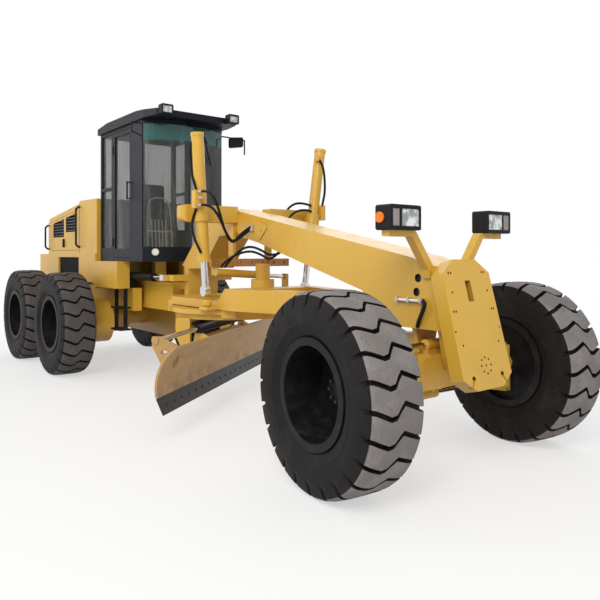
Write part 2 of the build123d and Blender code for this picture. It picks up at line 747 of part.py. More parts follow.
def side_shift():
    n, z = shift_n, shift_z
    y_low = -board_half_width + 280 + fit
    tube = along_y(n, (-700, 660), z, 42)
    for side in SIDES.values():
        tube += block((n - 30, n + 25), sorted((side * 610, side * 650)), (790 + fit, z))
    tube -= along_y(n, (-700, 620), z, 24 + fit)
    stem = along_y(n, (y_low, 0), z, 24)
    return tube, stem


def rear_frame():
    """Rear chassis: two rails, the narrow head and the tongues of the articulation hinge."""
    frame = block((-5300, hinge_x - hinge_radius - 30), (-head_half, head_half), (head_low, 1240))
    frame += block((-4500, hinge_x - hinge_radius - 30), (-head_half - 25, head_half + 25), (1215, 1240))
    for low, high in (upper_tongue, lower_tongue):
        tongue = block((hinge_x - hinge_radius - 40, hinge_x), (-hinge_radius, hinge_radius), (low, high))
        tongue += along_z(hinge_x, 0, (low, high), hinge_radius)
        frame += tongue - along_z(hinge_x, 0, (low, high), hinge_pin_radius + fit)
    for side in SIDES.values():
        y = sorted((side * (rail_half - rail_thick), side * rail_half))
        frame += block((body_rear + 30, rail_front), y, (rail_low, rail_high))
        for x in (-5250, -4350):
            post = sorted((side * 120, side * head_half))
            frame += block((x - 50, x + 50), post, (1200, cab_floor - fit))
    for x in (-7700, -6700, -5400, -4950):
        frame += block((x - 60, x + 60), (-rail_half + 10, rail_half - 10), (rail_low + 40, cross_top))
    for x in (-7700, -5600):
        frame += block((x - 60, x + 60), (-body_half + 40, body_half - 40), (rail_high - 30, body_low - fit))
    frame += block((body_rear, body_rear + 40), (-rail_half, rail_half), (rail_low, rail_high))
    hitch = block((body_rear - 120, body_rear), (-200, 200), (rail_low + 30, rail_high - 30))
    hitch -= block((body_rear - 120, body_rear - 30), (-200, 200), (rail_low + 80, rail_high - 80))
    hitch -= along_z(body_rear - 75, 0, (rail_low, rail_high), 20)
    return frame + hitch


def tandem():
    """Rear axle housing with the two tandem cases and their stub axles."""
    axle_x = mid_x - mid_to_rear / 2
    unit = along_y(axle_x, (-tandem_inner - 10, tandem_inner + 10), tyre_radius, axle_tube_radius)
    unit += along_y(axle_x, (-150, 150), tyre_radius, 260)
    for side in SIDES.values():
        y = sorted((side * tandem_inner, side * tandem_outer))
        low, high = tyre_radius - tandem_radius, tyre_radius + tandem_radius
        case = block((rear_x, mid_x), y, (low, high))
        stub_end = wheel_y - disc_inset - disc_thickness / 2 - 15 + hub_length - 30 - gap
        for x in (mid_x, rear_x):
            case += along_y(x, y, tyre_radius, tandem_radius)
            case += along_y(x, sorted((side * tandem_outer, side * stub_end)), tyre_radius, spindle_radius)
        unit += case
        y = sorted((side * (rail_half - rail_thick), side * rail_half))
        unit += block((axle_x - 150, axle_x + 150), y, (tyre_radius, rail_low))
    return unit


def rear_body():
    """Lower body walls with the dark openings over the wheels."""
    z = (body_low, body_high)
    shell = block((body_rear, body_front), (-body_half, body_half), z)
    shell -= block((body_rear + 30, body_front - 30), (-body_half + 30, body_half - 30), z)
    deck = block((body_rear, body_front), (-body_half, body_half), (body_high - 20, body_high))
    deck -= block((hood_rear + 40, body_front), (-hood_half + 60, hood_half - 60), (body_high - 20, body_high))
    shell += deck
    shell -= block((-6990, -6080), (-body_half, body_half), (1290, 1550))
    return shell


def hood():
    """Engine hood: the tall block behind the cab and the sloping rear part, with door openings."""
    outline = [(body_front, body_high), (body_front, hood_top - 10), (hood_step, hood_top),
               (hood_step, hood_top - 40), (hood_rear + 60, tail_top), (hood_rear, tail_top - 70),
               (hood_rear, body_high)]
    inner = [(body_front - hood_skin, body_high), (body_front - hood_skin, hood_top - 30),
             (hood_step + hood_skin, hood_top - 20), (hood_step + hood_skin, hood_top - 60),
             (hood_rear + 70, tail_top - 20), (hood_rear + hood_skin, tail_top - 80),
             (hood_rear + hood_skin, body_high)]
    shell = slab_xz(outline, (-hood_half, hood_half))
    shell -= slab_xz(inner, (-hood_half + hood_skin, hood_half - hood_skin))
    shell -= slab_xz(door_outline(0), (-hood_half, hood_half))
    middles, ends, middle_room, end_room = hood_hinges()
    shell = shell - middle_room - mirrored(middle_room) + ends + mirrored(ends)
    for step in range(9):
        z = 1700 + step * 40
        shell -= block((hood_rear, hood_rear + hood_skin), (-470, 470), (z, z + 24))
    return shell


def door_outline(inset):
    """Hood door opening, its top parallel to the hood's slope."""
    return [(door_front - inset, body_high + 50 + inset), (door_front - inset, hood_top - 120 - inset),
            (door_rear + inset, tail_top - 60 - inset), (door_rear + inset, body_high + 50 + inset)]


def hood_hinges():
    """Hinges along the top of the left hood door."""
    outline = door_outline(gap)
    front, rear = [Vector(x, hood_half, z) for x, z in (outline[1], outline[2])]
    return hinge_barrels(front, rear - front, (200, 1000), 9)


def hood_door():
    """Left hood door with two louvred vents."""
    door = slab_xz(door_outline(gap), (hood_half - hood_skin, hood_half))
    middles, ends, middle_room, end_room = hood_hinges()
    door = door - end_room + middles
    slope = (hood_top - tail_top - 60) / (door_front - door_rear)
    for x in ((door_rear + 90, door_rear + 610), (door_rear + 690, door_front - 50)):
        top = [tail_top - 100 + (end - door_rear) * slope for end in x]
        vent = [(x[0], top[0] - 220), (x[1], top[0] - 220), (x[1], top[1]), (x[0], top[0])]
        hole = slab_xz(vent, (hood_half - hood_skin, hood_half))
        bars = None
        for step in range(8):
            z = top[0] - 200 + step * 45
            bar = block(x, (hood_half - hood_skin, hood_half - 5), (z, z + 12))
            bars = bar if bars is None else bars + bar
        door = door - hole + (bars & hole)
    return door


def rear_pieces():
    write(rear_frame(), "rear_frame")
    write(tandem(), "tandem_axle")
    write(rear_body(), "rear_body")
    write(hood(), "hood")
    for name, side in SIDES.items():
        write(on_side(hood_door(), side), f"hood_door_{name}")
        write_wheel(f"mid_wheel_{name}", side, mid_x)
        write_wheel(f"rear_wheel_{name}", side, rear_x)
    write(block((-7300, -6200), (-260, 260), (cross_top + fit, 1950)), "engine_block")
    z = (box_low, cab_floor - fit)
    box = block((body_front + fit, box_front), (rail_half + 70, 640), z)
    box += block((body_front + fit, -4830), (rail_half + fit, 640), z)
    write(both(box), "side_boxes")
    rails = [grab_rail(hood_rear + 30, (1680, tail_top - 110)), grab_rail(hood_step + 25, (1700, hood_top - 90))]
    write(group(both(group(*rails)), both(cab_ladder())), "steps_and_rails")


def grab_rail(x, z):
    """Left grab rail on the hood's side."""
    y, out = hood_half, hood_half + 60
    return bent_bar([(x, y, z[0]), (x, out - 35, z[0]), (x, out, z[0] + 35), (x, out, z[1] - 35),
                     (x, out - 35, z[1]), (x, y, z[1])], 14)


def cab_outline(inset):
    """Plan of the cab: straight sides and a round nose."""
    x, y = cab_corner, cab_half - inset
    nose = ThreePointArc((x, y), (cab_nose - inset, 0), (x, -y))
    rear = cab_rear + inset
    return make_face([Line((rear, -y), (rear, y)), Line((rear, y), (x, y)), nose, Line((x, -y), (rear, -y))])


def cab_slab(inset, z):
    return Pos(0, 0, z[0]) * extrude(cab_outline(inset), z[1] - z[0])


def cab_frame():
    """Sills, posts and head rail round open windows and door openings, and the floor let in between them."""
    full = cab_slab(0, (cab_floor, cab_top)) - cab_slab(wall, (cab_floor, cab_top))
    top_z = cab_top - head_rail
    side_y = (-cab_half, cab_half)
    full -= block((door_rear_x, door_front_x), side_y, (cab_floor + door_sill, top_z))
    full -= block((cab_rear + 50, door_rear_x - 50), side_y, (sill_z, top_z))
    full -= block((cab_corner - 10, cab_nose), side_y, (sill_z, top_z))
    full -= block((cab_rear, cab_rear + wall), (-cab_half + 60, cab_half - 60), (quarter_bar - 120, top_z))
    bar = block((cab_rear + 50, door_rear_x - 50), (cab_half - wall, cab_half), (quarter_bar, quarter_bar + 40))
    middles, ends, middle_room, end_room = cab_hinges()
    walls = full + bar + mirrored(bar) - middle_room - mirrored(middle_room) + ends + mirrored(ends)
    return group(walls, cab_slab(wall + fit, (cab_floor, cab_floor + wall)))


def cab_hinges():
    """Hinges on the rear edge of the left cab door."""
    height = cab_top - cab_floor
    return hinge_barrels((door_rear_x + gap, cab_half, cab_floor), (0, 0, 1), (250, height - 270), 12)


def cab_glass():
    """Curved windscreen, quarter panes and rear window."""
    top_z = cab_top - head_rail
    screen = cab_slab(12, (sill_z + fit, top_z - fit)) - cab_slab(12 + glass, (sill_z, top_z))
    screen &= block((cab_corner - 10 + fit, cab_nose), (-cab_half, cab_half), (sill_z, top_z))
    panes = [screen]
    y = (cab_half - 24, cab_half - 24 + glass)
    for z in ((sill_z + fit, quarter_bar - fit), (quarter_bar + 40 + fit, top_z - fit)):
        pane = block((cab_rear + 50 + fit, door_rear_x - 50 - fit), y, z)
        panes += [pane, mirrored(pane)]
    panes.append(block((cab_rear + 16, cab_rear + 16 + glass), (-cab_half + 60 + fit, cab_half - 60 - fit),
                       (quarter_bar - 120 + fit, top_z - fit)))
    return group(*panes)


def cab_door():
    """Left cab door frame round its pane."""
    x = (door_rear_x + gap, door_front_x - gap)
    z = (cab_floor + door_sill + gap, cab_top - head_rail - gap)
    y = (cab_half - wall, cab_half)
    door = block(x, y, z) - block((x[0] + 55, x[1] - 45), y, (z[0] + 110, z[1] - 55))
    middles, ends, middle_room, end_room = cab_hinges()
    door = door - end_room + middles
    pane = block((x[0] + 55 + fit, x[1] - 45 - fit), (y[0] + 16, y[0] + 16 + glass),
                 (z[0] + 110 + fit, z[1] - 55 - fit))
    return door, pane


def cab_roof():
    front = cab_nose + 190
    side = [(cab_rear - 60, 590), (front - 270, 590), (front, 540)]
    plan = slab_xy(side + [(x, -y) for x, y in reversed(side)], (cab_top, roof_top), 30)
    profile = [(cab_rear - 60, cab_top), (front, cab_top), (front, roof_top - 40), (front - 500, roof_top),
               (cab_rear + 300, roof_top), (cab_rear - 60, roof_top - 40)]
    roof = plan & slab_xz(profile, (-600, 600))
    return roof - cab_slab(wall + 20, (cab_top, roof_top - 40))


def seat_base():
    base = block((-5000, -4700), (-170, 170), (cab_floor + wall, 1780))
    base += block((-5030, -4600), (-240, 240), (1780, 1800))
    for side in SIDES.values():
        base += block((-5030, -4990), sorted((side * 200, side * 240)), (1800, 2120))
        base += block((-5030, -4700), sorted((side * 240, side * 290)), (2060, 2120))
    return base


def seat_cushions():
    seat = chamfer(block((-4985, -4560), (-235, 235), (1800 + fit, 1920)).edges(), 30)
    back = chamfer(block((-5140, -5030 - fit), (-230, 230), (1930, 2560)).edges(), 30)
    return group(seat, back)


def console():
    """Steering column with its wheel and a row of control levers each side."""
    top = 1900
    above = block((-4700, -4000), (-400, 400), (top + fit, 2500))
    column = block((-4330, -4180), (-190, 190), (cab_floor + wall, top))
    shaft = rod((-4260, 0, 1850), (-4346, 0, 2152), 30)
    rim_outer, rim_inner = [extrude(RegularPolygon(radius, 20), 13, both=True) for radius in (203, 177)]
    wheel = Pos(-4345, 0, 2150) * Rot(0, -20, 0) * (rim_outer - rim_inner)
    spoke = Pos(-4345, 0, 2150) * Rot(0, -20, 0) * (Box(370, 24, 12) + Box(24, 370, 12))
    levers = []
    for side in SIDES.values():
        for step in range(5):
            x, y = -4300 + step * 26, side * (175 - step * 22)
            levers.append(above & rod((x, y, 1880), (x - 30, side * (230 + step * 4), 2180 + step * 6), 8))
    return group(column, above & (shaft + wheel + spoke), *levers)


def cab_pieces():
    write(cab_frame(), "cab_frame")
    write(cab_glass(), "cab_glass")
    write(cab_roof(), "cab_roof")
    for name, side in SIDES.items():
        door, pane = cab_door()
        write(on_side(door, side), f"cab_door_{name}")
        write(on_side(pane, side), f"door_glass_{name}")
    write(group(seat_base(), seat_cushions()), "seat")
    write(console(), "console")
    write(both(roof_lamp()), "roof_lamps")
    write(group(*mirrors()), "mirrors")


def roof_lamp():
    """Left lamp on the front edge of the roof, with its lens let in."""
    front = cab_nose + 190 + fit
    y = (380, 530)
    lamp = chamfer(block((front, front + 90), y, (roof_top - 115, roof_top)).edges().filter_by(Axis.X), 10)
    return lamp - block((front + 78, front + 90), (y[0] + 16, y[1] - 16), (roof_top - 97, roof_top - 18))


def mirrors():
    """Left mirror on its arm, and the right arm, which has lost its mirror."""
    x, y, z = cab_corner - 30, cab_half + fit, cab_top - 75
    arm = bent_bar([(x, y, z), (x, y + 90, z), (x + 110, y + 160, z - 30)], 9)
    glass_box = [(y + 60, z - 25), (y + 60, z - 165), (y + 270, z - 130), (y + 270, z)]
    box = slab_yz(glass_box, (x + 95, x + 130))
    box = chamfer(box.edges().filter_by(Axis.X), 18)
    hook = bent_bar([(x + 112, y + 265, z - 40), (x + 112, y + 300, z - 40), (x + 112, y + 300, z - 230)], 9)
    near = y + 3
    loop = bent_bar([(x, near, z + 30), (x + 60, y + 150, z + 20), (x + 60, y + 150, z - 90),
                     (x, near, z - 120)], 7)
    return arm + box + hook, mirrored(loop)


def cab_ladder():
    """Left ladder that hangs below the box under the cab door, behind the blade's turning circle."""
    ladder = None
    for z in (610, 890):
        tread = block((-4915, -4615), (455, 605), (z, z + 22))
        ladder = tread if ladder is None else ladder + tread
    for x in ((-4915, -4903), (-4627, -4615)):
        ladder += block(x, (505, 555), (610, box_low - fit))
    return ladder


def articulation():
    """Cylinders each side of the hinge: tubes on the rear frame, rods that push the front frame."""
    tubes = []
    for name, side in SIDES.items():
        y, z = side * 400, 1310
        mouth = hinge_x - 290
        tube = along_x((-4760, mouth), y, z, 50)
        tube += block((-4800, -4720), sorted((side * 340, side * 440)), (rail_high + fit, z + 30))
        tube -= along_x((-4700, mouth), y, z, 28 + fit)
        tubes.append(tube)
        eye = hinge_x + 60 - 90 - eye_gap
        stem = along_x((-4450, eye), y, z, 28) + along_z(eye, y, (z - 35, z + 35), 45)
        write(stem, f"articulation_rod_{name}")
    write(group(*tubes), "articulation_tubes")


front_reach = (wheel_place(1, 0, steer_angle, king_y) * tyre()).bounding_box().max.X
middle_x = (front_reach + rear_x - rear_reach) / 2


def main():
    os.makedirs("parts", exist_ok=True)
    front_gear()
    write(front_frame(), "front_frame")
    write(counterweight(), "counterweight")
    write(headlamps(), "headlamps")
    lift_gear()
    blade_gear()
    rear_pieces()
    cab_pieces()
    articulation()


main()
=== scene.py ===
"""Looks of the motor grader: paint, tyres, glass, hoses and small fittings round the CAD parts.

Metres, in the row frame: X forward, Y to the machine's left, Z up, origin under the machine's middle.
at() takes a place measured from the front axle.
"""
import json
from math import asin, cos, pi, radians, sin

import bmesh
import bpy
from mathutils import Matrix, Vector


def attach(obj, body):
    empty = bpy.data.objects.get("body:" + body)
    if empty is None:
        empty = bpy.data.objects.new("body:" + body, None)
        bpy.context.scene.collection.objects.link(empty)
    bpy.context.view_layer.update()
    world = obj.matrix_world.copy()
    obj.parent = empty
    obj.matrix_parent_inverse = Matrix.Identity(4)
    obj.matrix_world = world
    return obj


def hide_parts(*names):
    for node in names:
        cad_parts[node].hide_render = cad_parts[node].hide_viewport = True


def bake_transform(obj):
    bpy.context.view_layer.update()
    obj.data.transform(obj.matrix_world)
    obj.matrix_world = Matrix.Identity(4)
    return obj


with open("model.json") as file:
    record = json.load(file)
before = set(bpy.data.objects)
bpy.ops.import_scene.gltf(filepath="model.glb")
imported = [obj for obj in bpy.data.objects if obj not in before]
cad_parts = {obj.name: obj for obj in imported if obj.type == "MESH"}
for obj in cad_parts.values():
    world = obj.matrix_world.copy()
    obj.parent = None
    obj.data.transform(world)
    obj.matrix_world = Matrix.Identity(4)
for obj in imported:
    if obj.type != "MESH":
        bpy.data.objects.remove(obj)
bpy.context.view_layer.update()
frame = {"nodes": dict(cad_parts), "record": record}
nodes = frame["nodes"]
SIDES = {"right": -1, "left": 1}
AXLE = 3.669089          # front axle; the X values below are measured from it
MID_AXLE = -5.44
REAR_AXLE = -7.1
TYRE_RADIUS = 0.675
TRACK = 1.04             # each wheel's centre from the machine's middle
KING_PIN = 0.797         # each king pin from the machine's middle
TOE = radians(-5.9)      # how far the front wheels are turned
NOSE_LEAN = radians(14.7)
NOSE_X = 0.239           # front face of the nose plate at the height NOSE_Z
NOSE_Z = 1.548
CIRCLE_REACH = 2.44      # blade's turning centre behind the drawbar's ball
BALL_X = -0.36
BLADE_TURN = radians(37)
BLADE_SHIFT = 0.075
TEAL_FROM = 2.965        # lower edge of the teal band on the windscreen
LENS = 38.04             # mm, on a sensor 36 mm wide
LENS_SHIFT = -0.0747
CAMERA_PLACE = (3.1379, -3.838, 1.5788)
HEADING = 2.47           # the way the camera looks, anticlockwise from +X


def at(x, y, z):
    """A place measured from the front axle, in the row frame."""
    return Vector((x + AXLE, y, z))


class Val:
    """A number in a shader, made from a socket, with arithmetic."""

    def __init__(self, tree, socket):
        self.tree = tree
        self.socket = socket

    def run(self, operation, *values):
        node = self.tree.nodes.new("ShaderNodeMath")
        node.operation = operation
        for slot, value in enumerate(values):
            if isinstance(value, Val):
                self.tree.links.new(value.socket, node.inputs[slot])
            else:
                node.inputs[slot].default_value = value
        return Val(self.tree, node.outputs[0])

    def __add__(self, other):
        return self.run("ADD", self, other)

    def __sub__(self, other):
        return self.run("SUBTRACT", self, other)

    def __rsub__(self, other):
        return self.run("SUBTRACT", other, self)

    def __mul__(self, other):
        return self.run("MULTIPLY", self, other)

    def size(self):
        return self.run("ABSOLUTE", self)

    def within(self, low, high):
        """1 between low and high, 0 outside."""
        return self.run("GREATER_THAN", self, low) * self.run("LESS_THAN", self, high)

    def wave(self):
        return self.run("SINE", self)

    def ramp(self, low, high):
        """0 below low, 1 above high, smooth between."""
        node = self.tree.nodes.new("ShaderNodeMapRange")
        node.interpolation_type = "SMOOTHSTEP"
        self.tree.links.new(self.socket, node.inputs["Value"])
        node.inputs["From Min"].default_value = low
        node.inputs["From Max"].default_value = high
        return Val(self.tree, node.outputs["Result"])


class Surface:
    """A Principled material on object coordinates."""

    def __init__(self, name, color, rough=0.5, metal=0.0):
        self.material = bpy.data.materials.new(name)
        self.material.use_nodes = True
        self.tree = self.material.node_tree
        self.bsdf = self.tree.nodes["Principled BSDF"]
        self.bsdf.inputs["Base Color"].default_value = (*color, 1)
        self.bsdf.inputs["Roughness"].default_value = rough
        self.bsdf.inputs["Metallic"].default_value = metal
        self.place = self.tree.nodes.new("ShaderNodeTexCoord").outputs["Object"]
        split = self.tree.nodes.new("ShaderNodeSeparateXYZ")
        self.tree.links.new(self.place, split.inputs[0])
        self.x, self.y, self.z = (Val(self.tree, out) for out in split.outputs)
        geometry = self.tree.nodes.new("ShaderNodeNewGeometry")
        turn = self.tree.nodes.new("ShaderNodeSeparateXYZ")
        self.tree.links.new(geometry.outputs["Normal"], turn.inputs[0])
        self.up = Val(self.tree, turn.outputs[2])

    def noise(self, scale, detail=4, rough=0.6, stretch=(1, 1, 1)):
        """Fractal noise from 0 to 1 that stays on the object."""
        mapping = self.tree.nodes.new("ShaderNodeMapping")
        mapping.inputs["Scale"].default_value = stretch
        self.tree.links.new(self.place, mapping.inputs["Vector"])
        node = self.tree.nodes.new("ShaderNodeTexNoise")
        self.tree.links.new(mapping.outputs[0], node.inputs["Vector"])
        node.inputs["Scale"].default_value = scale
        node.inputs["Detail"].default_value = detail
        node.inputs["Roughness"].default_value = rough
        return Val(self.tree, node.outputs["Fac"])

    def blend(self, factor, color):
        """Mixes another colour over the base colour."""
        mix = self.tree.nodes.new("ShaderNodeMix")
        mix.data_type = "RGBA"
        sockets = {socket.identifier: socket for socket in (*mix.inputs, *mix.outputs)}
        base = self.bsdf.inputs["Base Color"]
        if base.links:
            self.tree.links.new(base.links[0].from_socket, sockets["A_Color"])
        else:
            sockets["A_Color"].default_value = base.default_value
        sockets["B_Color"].default_value = (*color, 1)
        self.tree.links.new(factor.socket, mix.inputs["Factor"])
        self.tree.links.new(sockets["Result_Color"], base)

    def feed(self, socket, value):
        self.tree.links.new(value.socket, self.bsdf.inputs[socket])

    def bump(self, value, strength=0.3, distance=0.002):
        node = self.tree.nodes.new("ShaderNodeBump")
        node.inputs["Strength"].default_value = strength
        node.inputs["Distance"].default_value = distance
        self.tree.links.new(value.socket, node.inputs["Height"])
        self.tree.links.new(node.outputs["Normal"], self.bsdf.inputs["Normal"])

    def set(self, **values):
        """Sets plain values on sockets, written with _ for a space."""
        for key, value in values.items():
            self.bsdf.inputs[key.replace("_", " ")].default_value = value
        return self


YELLOW = (0.66, 0.385, 0.042)
DUST = (0.40, 0.31, 0.20)
BLACK = (0.010, 0.010, 0.011)
# painted shade: reddish brown laid on faces that point down
UNDERSIDE_SHADE = (0.30, 0.12, 0.02)
RUN = (0.24, 0.13, 0.04)
CHIP = (0.10, 0.06, 0.04)


def paint(name):
    """Yellow enamel with faint patches, painted shade on faces that point down, dust that gathers low down
    and on top, and small chips.
    """
    surface = Surface(name, YELLOW, 0.42)
    patch = surface.noise(1.7, 5)
    surface.blend(patch.ramp(0.42, 0.75) * 0.4, tuple(c * 0.78 for c in YELLOW))
    grime = surface.noise(9, 8, 0.7)
    low = (surface.z * -1).ramp(-1.1, -0.2)
    # painted shade: faces that point down are darkened towards reddish brown
    under = (surface.up * -1).ramp(0.3, 0.9)
    surface.blend(under * 0.55, UNDERSIDE_SHADE)
    dusty = (low * 0.6 + surface.up.ramp(0.6, 1.0) * 0.3) * grime.ramp(0.35, 0.75) * 0.5
    surface.blend(dusty, DUST)
    run = surface.noise(3.2, 7, 0.7, (3, 3, 0.5)).ramp(0.56, 0.74)
    surface.blend(run * 0.22, RUN)
    chips = surface.noise(60, 3, 0.5).ramp(0.72, 0.77) * surface.noise(3, 2).ramp(0.48, 0.62)
    surface.blend(chips * 0.7, CHIP)
    surface.feed("Roughness", grime * 0.25 + dusty * 0.35 + 0.27)
    surface.bump(surface.noise(45, 3) * 0.5 + surface.noise(6, 2), 0.06, 0.001)
    return surface.set(Coat_Weight=0.12, Coat_Roughness=0.2)


def arms_paint():
    """The lift arms' paint, worn to a reddish undercoat on the link bar and its hangers."""
    surface = paint("arm_paint")
    worn = (surface.z * -1).ramp(-1.60, -1.545)
    surface.blend(worn * 0.75, (0.42, 0.17, 0.045))
    return surface.material


def beam_paint():
    """Frame paint, with painted shade: dark blind holes, and a darker reddish band low on the hinge plates at
    its rear.
    """
    surface = paint("frame_paint")
    # painted shade: faces set in from the frame's side faces, in a box near the front axle, are made black as
    # the inside of blind holes
    holes = surface.x.within(AXLE - 0.08, AXLE + 0.02) * surface.z.within(1.265, 1.445)
    surface.blend(holes * surface.y.size().within(0.0, 0.1985), BLACK)
    # painted shade: the low rear of the frame, at the hinge plates, is darkened reddish
    behind = (surface.x * -1).ramp(3.62 - AXLE, 3.72 - AXLE)
    low = (surface.z * -1).ramp(-1.42, -1.32)
    surface.blend(behind * low * 0.5, (0.36, 0.13, 0.03))
    return surface.material


def plate_paint():
    """The nose plate's paint, with painted shade in its drilled holes and its slot."""
    surface = paint("plate_paint")
    face = (AXLE + NOSE_X) * cos(NOSE_LEAN) + NOSE_Z * sin(NOSE_LEAN)
    depth = surface.x * cos(NOSE_LEAN) + surface.z * sin(NOSE_LEAN) - face
    across = surface.y.size()
    # painted shade: faces sunk 3 to 55 mm behind the plate's front, in the hole pattern, are made near black
    drilled = across.within(0.06, 0.262) * surface.z.within(0.71, 1.44)
    drilled = drilled + across.within(0.06, 0.22) * surface.z.within(1.4401, 1.475)
    surface.blend(drilled * depth.within(-0.055, -0.003) * 0.85, (0.03, 0.016, 0.006))
    # painted shade: faces sunk in the middle slot are darkened brown
    slot = across.within(0.0, 0.05) * surface.z.within(1.20, 1.43) * depth.within(-0.2, -0.003)
    surface.blend(slot * 0.5, (0.20, 0.09, 0.01))
    return surface.material


def vent_paint():
    """Hood door paint, with painted shade, near black, on the faces sunk in its vents."""
    surface = paint("vent_paint")
    # painted shade: faces deeper than the door's outer face, in the vent area, are made near black
    vent_recess_shade = surface.x.within(AXLE - 7.32, AXLE - 6.21) * surface.z.within(1.83, 2.24)
    surface.blend(vent_recess_shade * surface.y.size().within(0.50, 0.5957), (0.012, 0.012, 0.012))
    return surface.material


def dark(name, color=BLACK, rough=0.42, dust=0.35, coat=0.0):
    """Black painted steel or moulded plastic with a film of dust."""
    surface = Surface(name, color, rough)
    grime = surface.noise(7, 8, 0.7)
    low = (surface.z * -1).ramp(-1.5, -0.2)
    dusty = (low + surface.up.ramp(0.5, 1.0) * 0.5) * grime.ramp(0.4, 0.8) * dust
    surface.blend(dusty, (0.13, 0.105, 0.085))
    surface.feed("Roughness", grime * 0.3 + dusty * 0.4 + (rough - 0.12))
    surface.bump(surface.noise(90, 2), 0.08, 0.0008)
    return surface.set(Coat_Weight=coat, Coat_Roughness=0.2, Specular_IOR_Level=0.12)


def tread(name, color, dusty):
    """Dusty rubber on the crests of the lugs, with darker scars."""
    surface = Surface(name, color, 0.88)
    surface.blend(surface.noise(5, 6).ramp(0.4, 0.7) * 0.7, dusty)
    surface.blend(surface.noise(38, 5).ramp(0.58, 0.72) * 0.5, tuple(c * 0.4 for c in color))
    surface.bump(surface.noise(70, 5), 0.35, 0.002)
    return surface.set(Specular_IOR_Level=0.25).material


def sidewall(name):
    """Black rubber with scuffs that run round the tyre."""
    surface = Surface(name, (0.011, 0.010, 0.010), 0.75)
    scuff = surface.noise(26, 9, 0.75, (1, 3, 1)).ramp(0.58, 0.74)
    surface.blend(scuff * 0.4, (0.085, 0.072, 0.062))
    surface.blend(surface.noise(4, 5).ramp(0.48, 0.75) * 0.35, (0.04, 0.035, 0.032))
    surface.feed("Roughness", scuff * 0.25 + 0.6)
    surface.bump(surface.noise(110, 4) + scuff, 0.2, 0.0015)
    return surface.set(Specular_IOR_Level=0.14).material


def blade_paint():
    """Yellow worn thin by the earth that slides up the blade, with long scratches along it."""
    surface = Surface("blade_paint", (0.50, 0.295, 0.095), 0.45)
    sweep = surface.noise(2.2, 7, 0.65, (1, 1, 3.5))
    surface.blend(sweep.ramp(0.38, 0.68) * 0.65, (0.40, 0.245, 0.11))
    soil = surface.noise(8, 8, 0.72)
    foot = (surface.z * -1).ramp(-0.56, -0.38)
    surface.blend((foot * 0.8 + 0.15) * soil.ramp(0.42, 0.66), (0.235, 0.165, 0.10))
    scratch = surface.noise(34, 5, 0.6, (1, 1, 7)).ramp(0.62, 0.72)
    surface.blend(scratch * 0.3, (0.62, 0.45, 0.24))
    surface.feed("Roughness", soil * 0.3 + 0.32)
    surface.bump(soil + scratch * 0.4, 0.16, 0.002)
    return surface.material


def edge_steel():
    """Dark steel with soil dried on it."""
    surface = Surface("edge_steel", (0.026, 0.024, 0.023), 0.45, 0.5)
    soil = surface.noise(7, 8, 0.72)
    surface.blend(soil.ramp(0.5, 0.75) * 0.55, (0.11, 0.078, 0.052))
    surface.feed("Roughness", soil * 0.35 + 0.28)
    surface.bump(soil, 0.25, 0.003)
    return surface.material


def glass_pane(name):
    """Dusty tinted glass; the windscreen has a teal band along its top."""
    surface = Surface(name, (0.055, 0.065, 0.062), 0.04)
    streak = surface.noise(1.6, 7, 0.7, (4, 4, 0.45))
    film = streak.ramp(0.46, 0.78)
    surface.blend(film, (0.22, 0.23, 0.21))
    alpha = film * 0.22 + 0.34
    band = surface.z.ramp(TEAL_FROM, TEAL_FROM + 0.035) * surface.x.within(AXLE - 4.1, AXLE)
    surface.blend(band * 0.92, (0.022, 0.13, 0.125))
    alpha = alpha + band * 0.42
    surface.feed("Alpha", alpha)
    surface.feed("Roughness", film * 0.12 + 0.03)
    surface.set(IOR=1.5)
    surface.material.surface_render_method = "BLENDED"
    return surface.material


def plain(name, color, rough, metal=0.0):
    """One colour, with a slightly uneven shine."""
    surface = Surface(name, color, rough, metal)
    surface.feed("Roughness", surface.noise(40, 4) * 0.15 + (rough - 0.07))
    return surface.material


def nose_lamps():
    """Black lamp with a clear lens, a narrow ribbed lens and an amber marker on its outer end."""
    surface = dark("nose_lamp", BLACK, 0.4, 0.2)
    across = surface.y.size()
    front = surface.x.within(AXLE + 0.1584, AXLE + 0.1690) * surface.z.within(1.779, 1.901)
    wide, narrow = front * across.within(0.411, 0.588), front * across.within(0.606, 0.679)
    cloud = surface.noise(16, 4)
    surface.blend(wide, (0.30, 0.33, 0.34))
    surface.blend(wide * cloud.ramp(0.42, 0.6), (0.80, 0.82, 0.82))
    rib = (across * 420).wave().ramp(-0.4, 0.6)
    surface.blend(narrow, (0.20, 0.165, 0.15))
    surface.blend(narrow * rib, (0.44, 0.39, 0.36))
    marker = across.within(0.7005, 0.80)
    surface.blend(marker, (0.80, 0.19, 0.015))
    shine = 1 - (wide + narrow + marker) * 0.75
    surface.feed("Roughness", shine * 0.42)
    return surface.material


def roof_lamp():
    """Black lamp with a clouded clear lens."""
    surface = dark("roof_lamp", BLACK, 0.4, 0.2)
    lens = surface.x.within(AXLE - 3.6032, AXLE - 3.6002) * surface.y.size().within(0.395, 0.515)
    lens = lens * surface.z.within(3.242, 3.323)
    surface.blend(lens, (0.45, 0.43, 0.42))
    surface.blend(lens * surface.noise(22, 4).ramp(0.45, 0.6), (0.78, 0.76, 0.74))
    surface.feed("Roughness", 0.42 - lens * 0.3)
    return surface.material


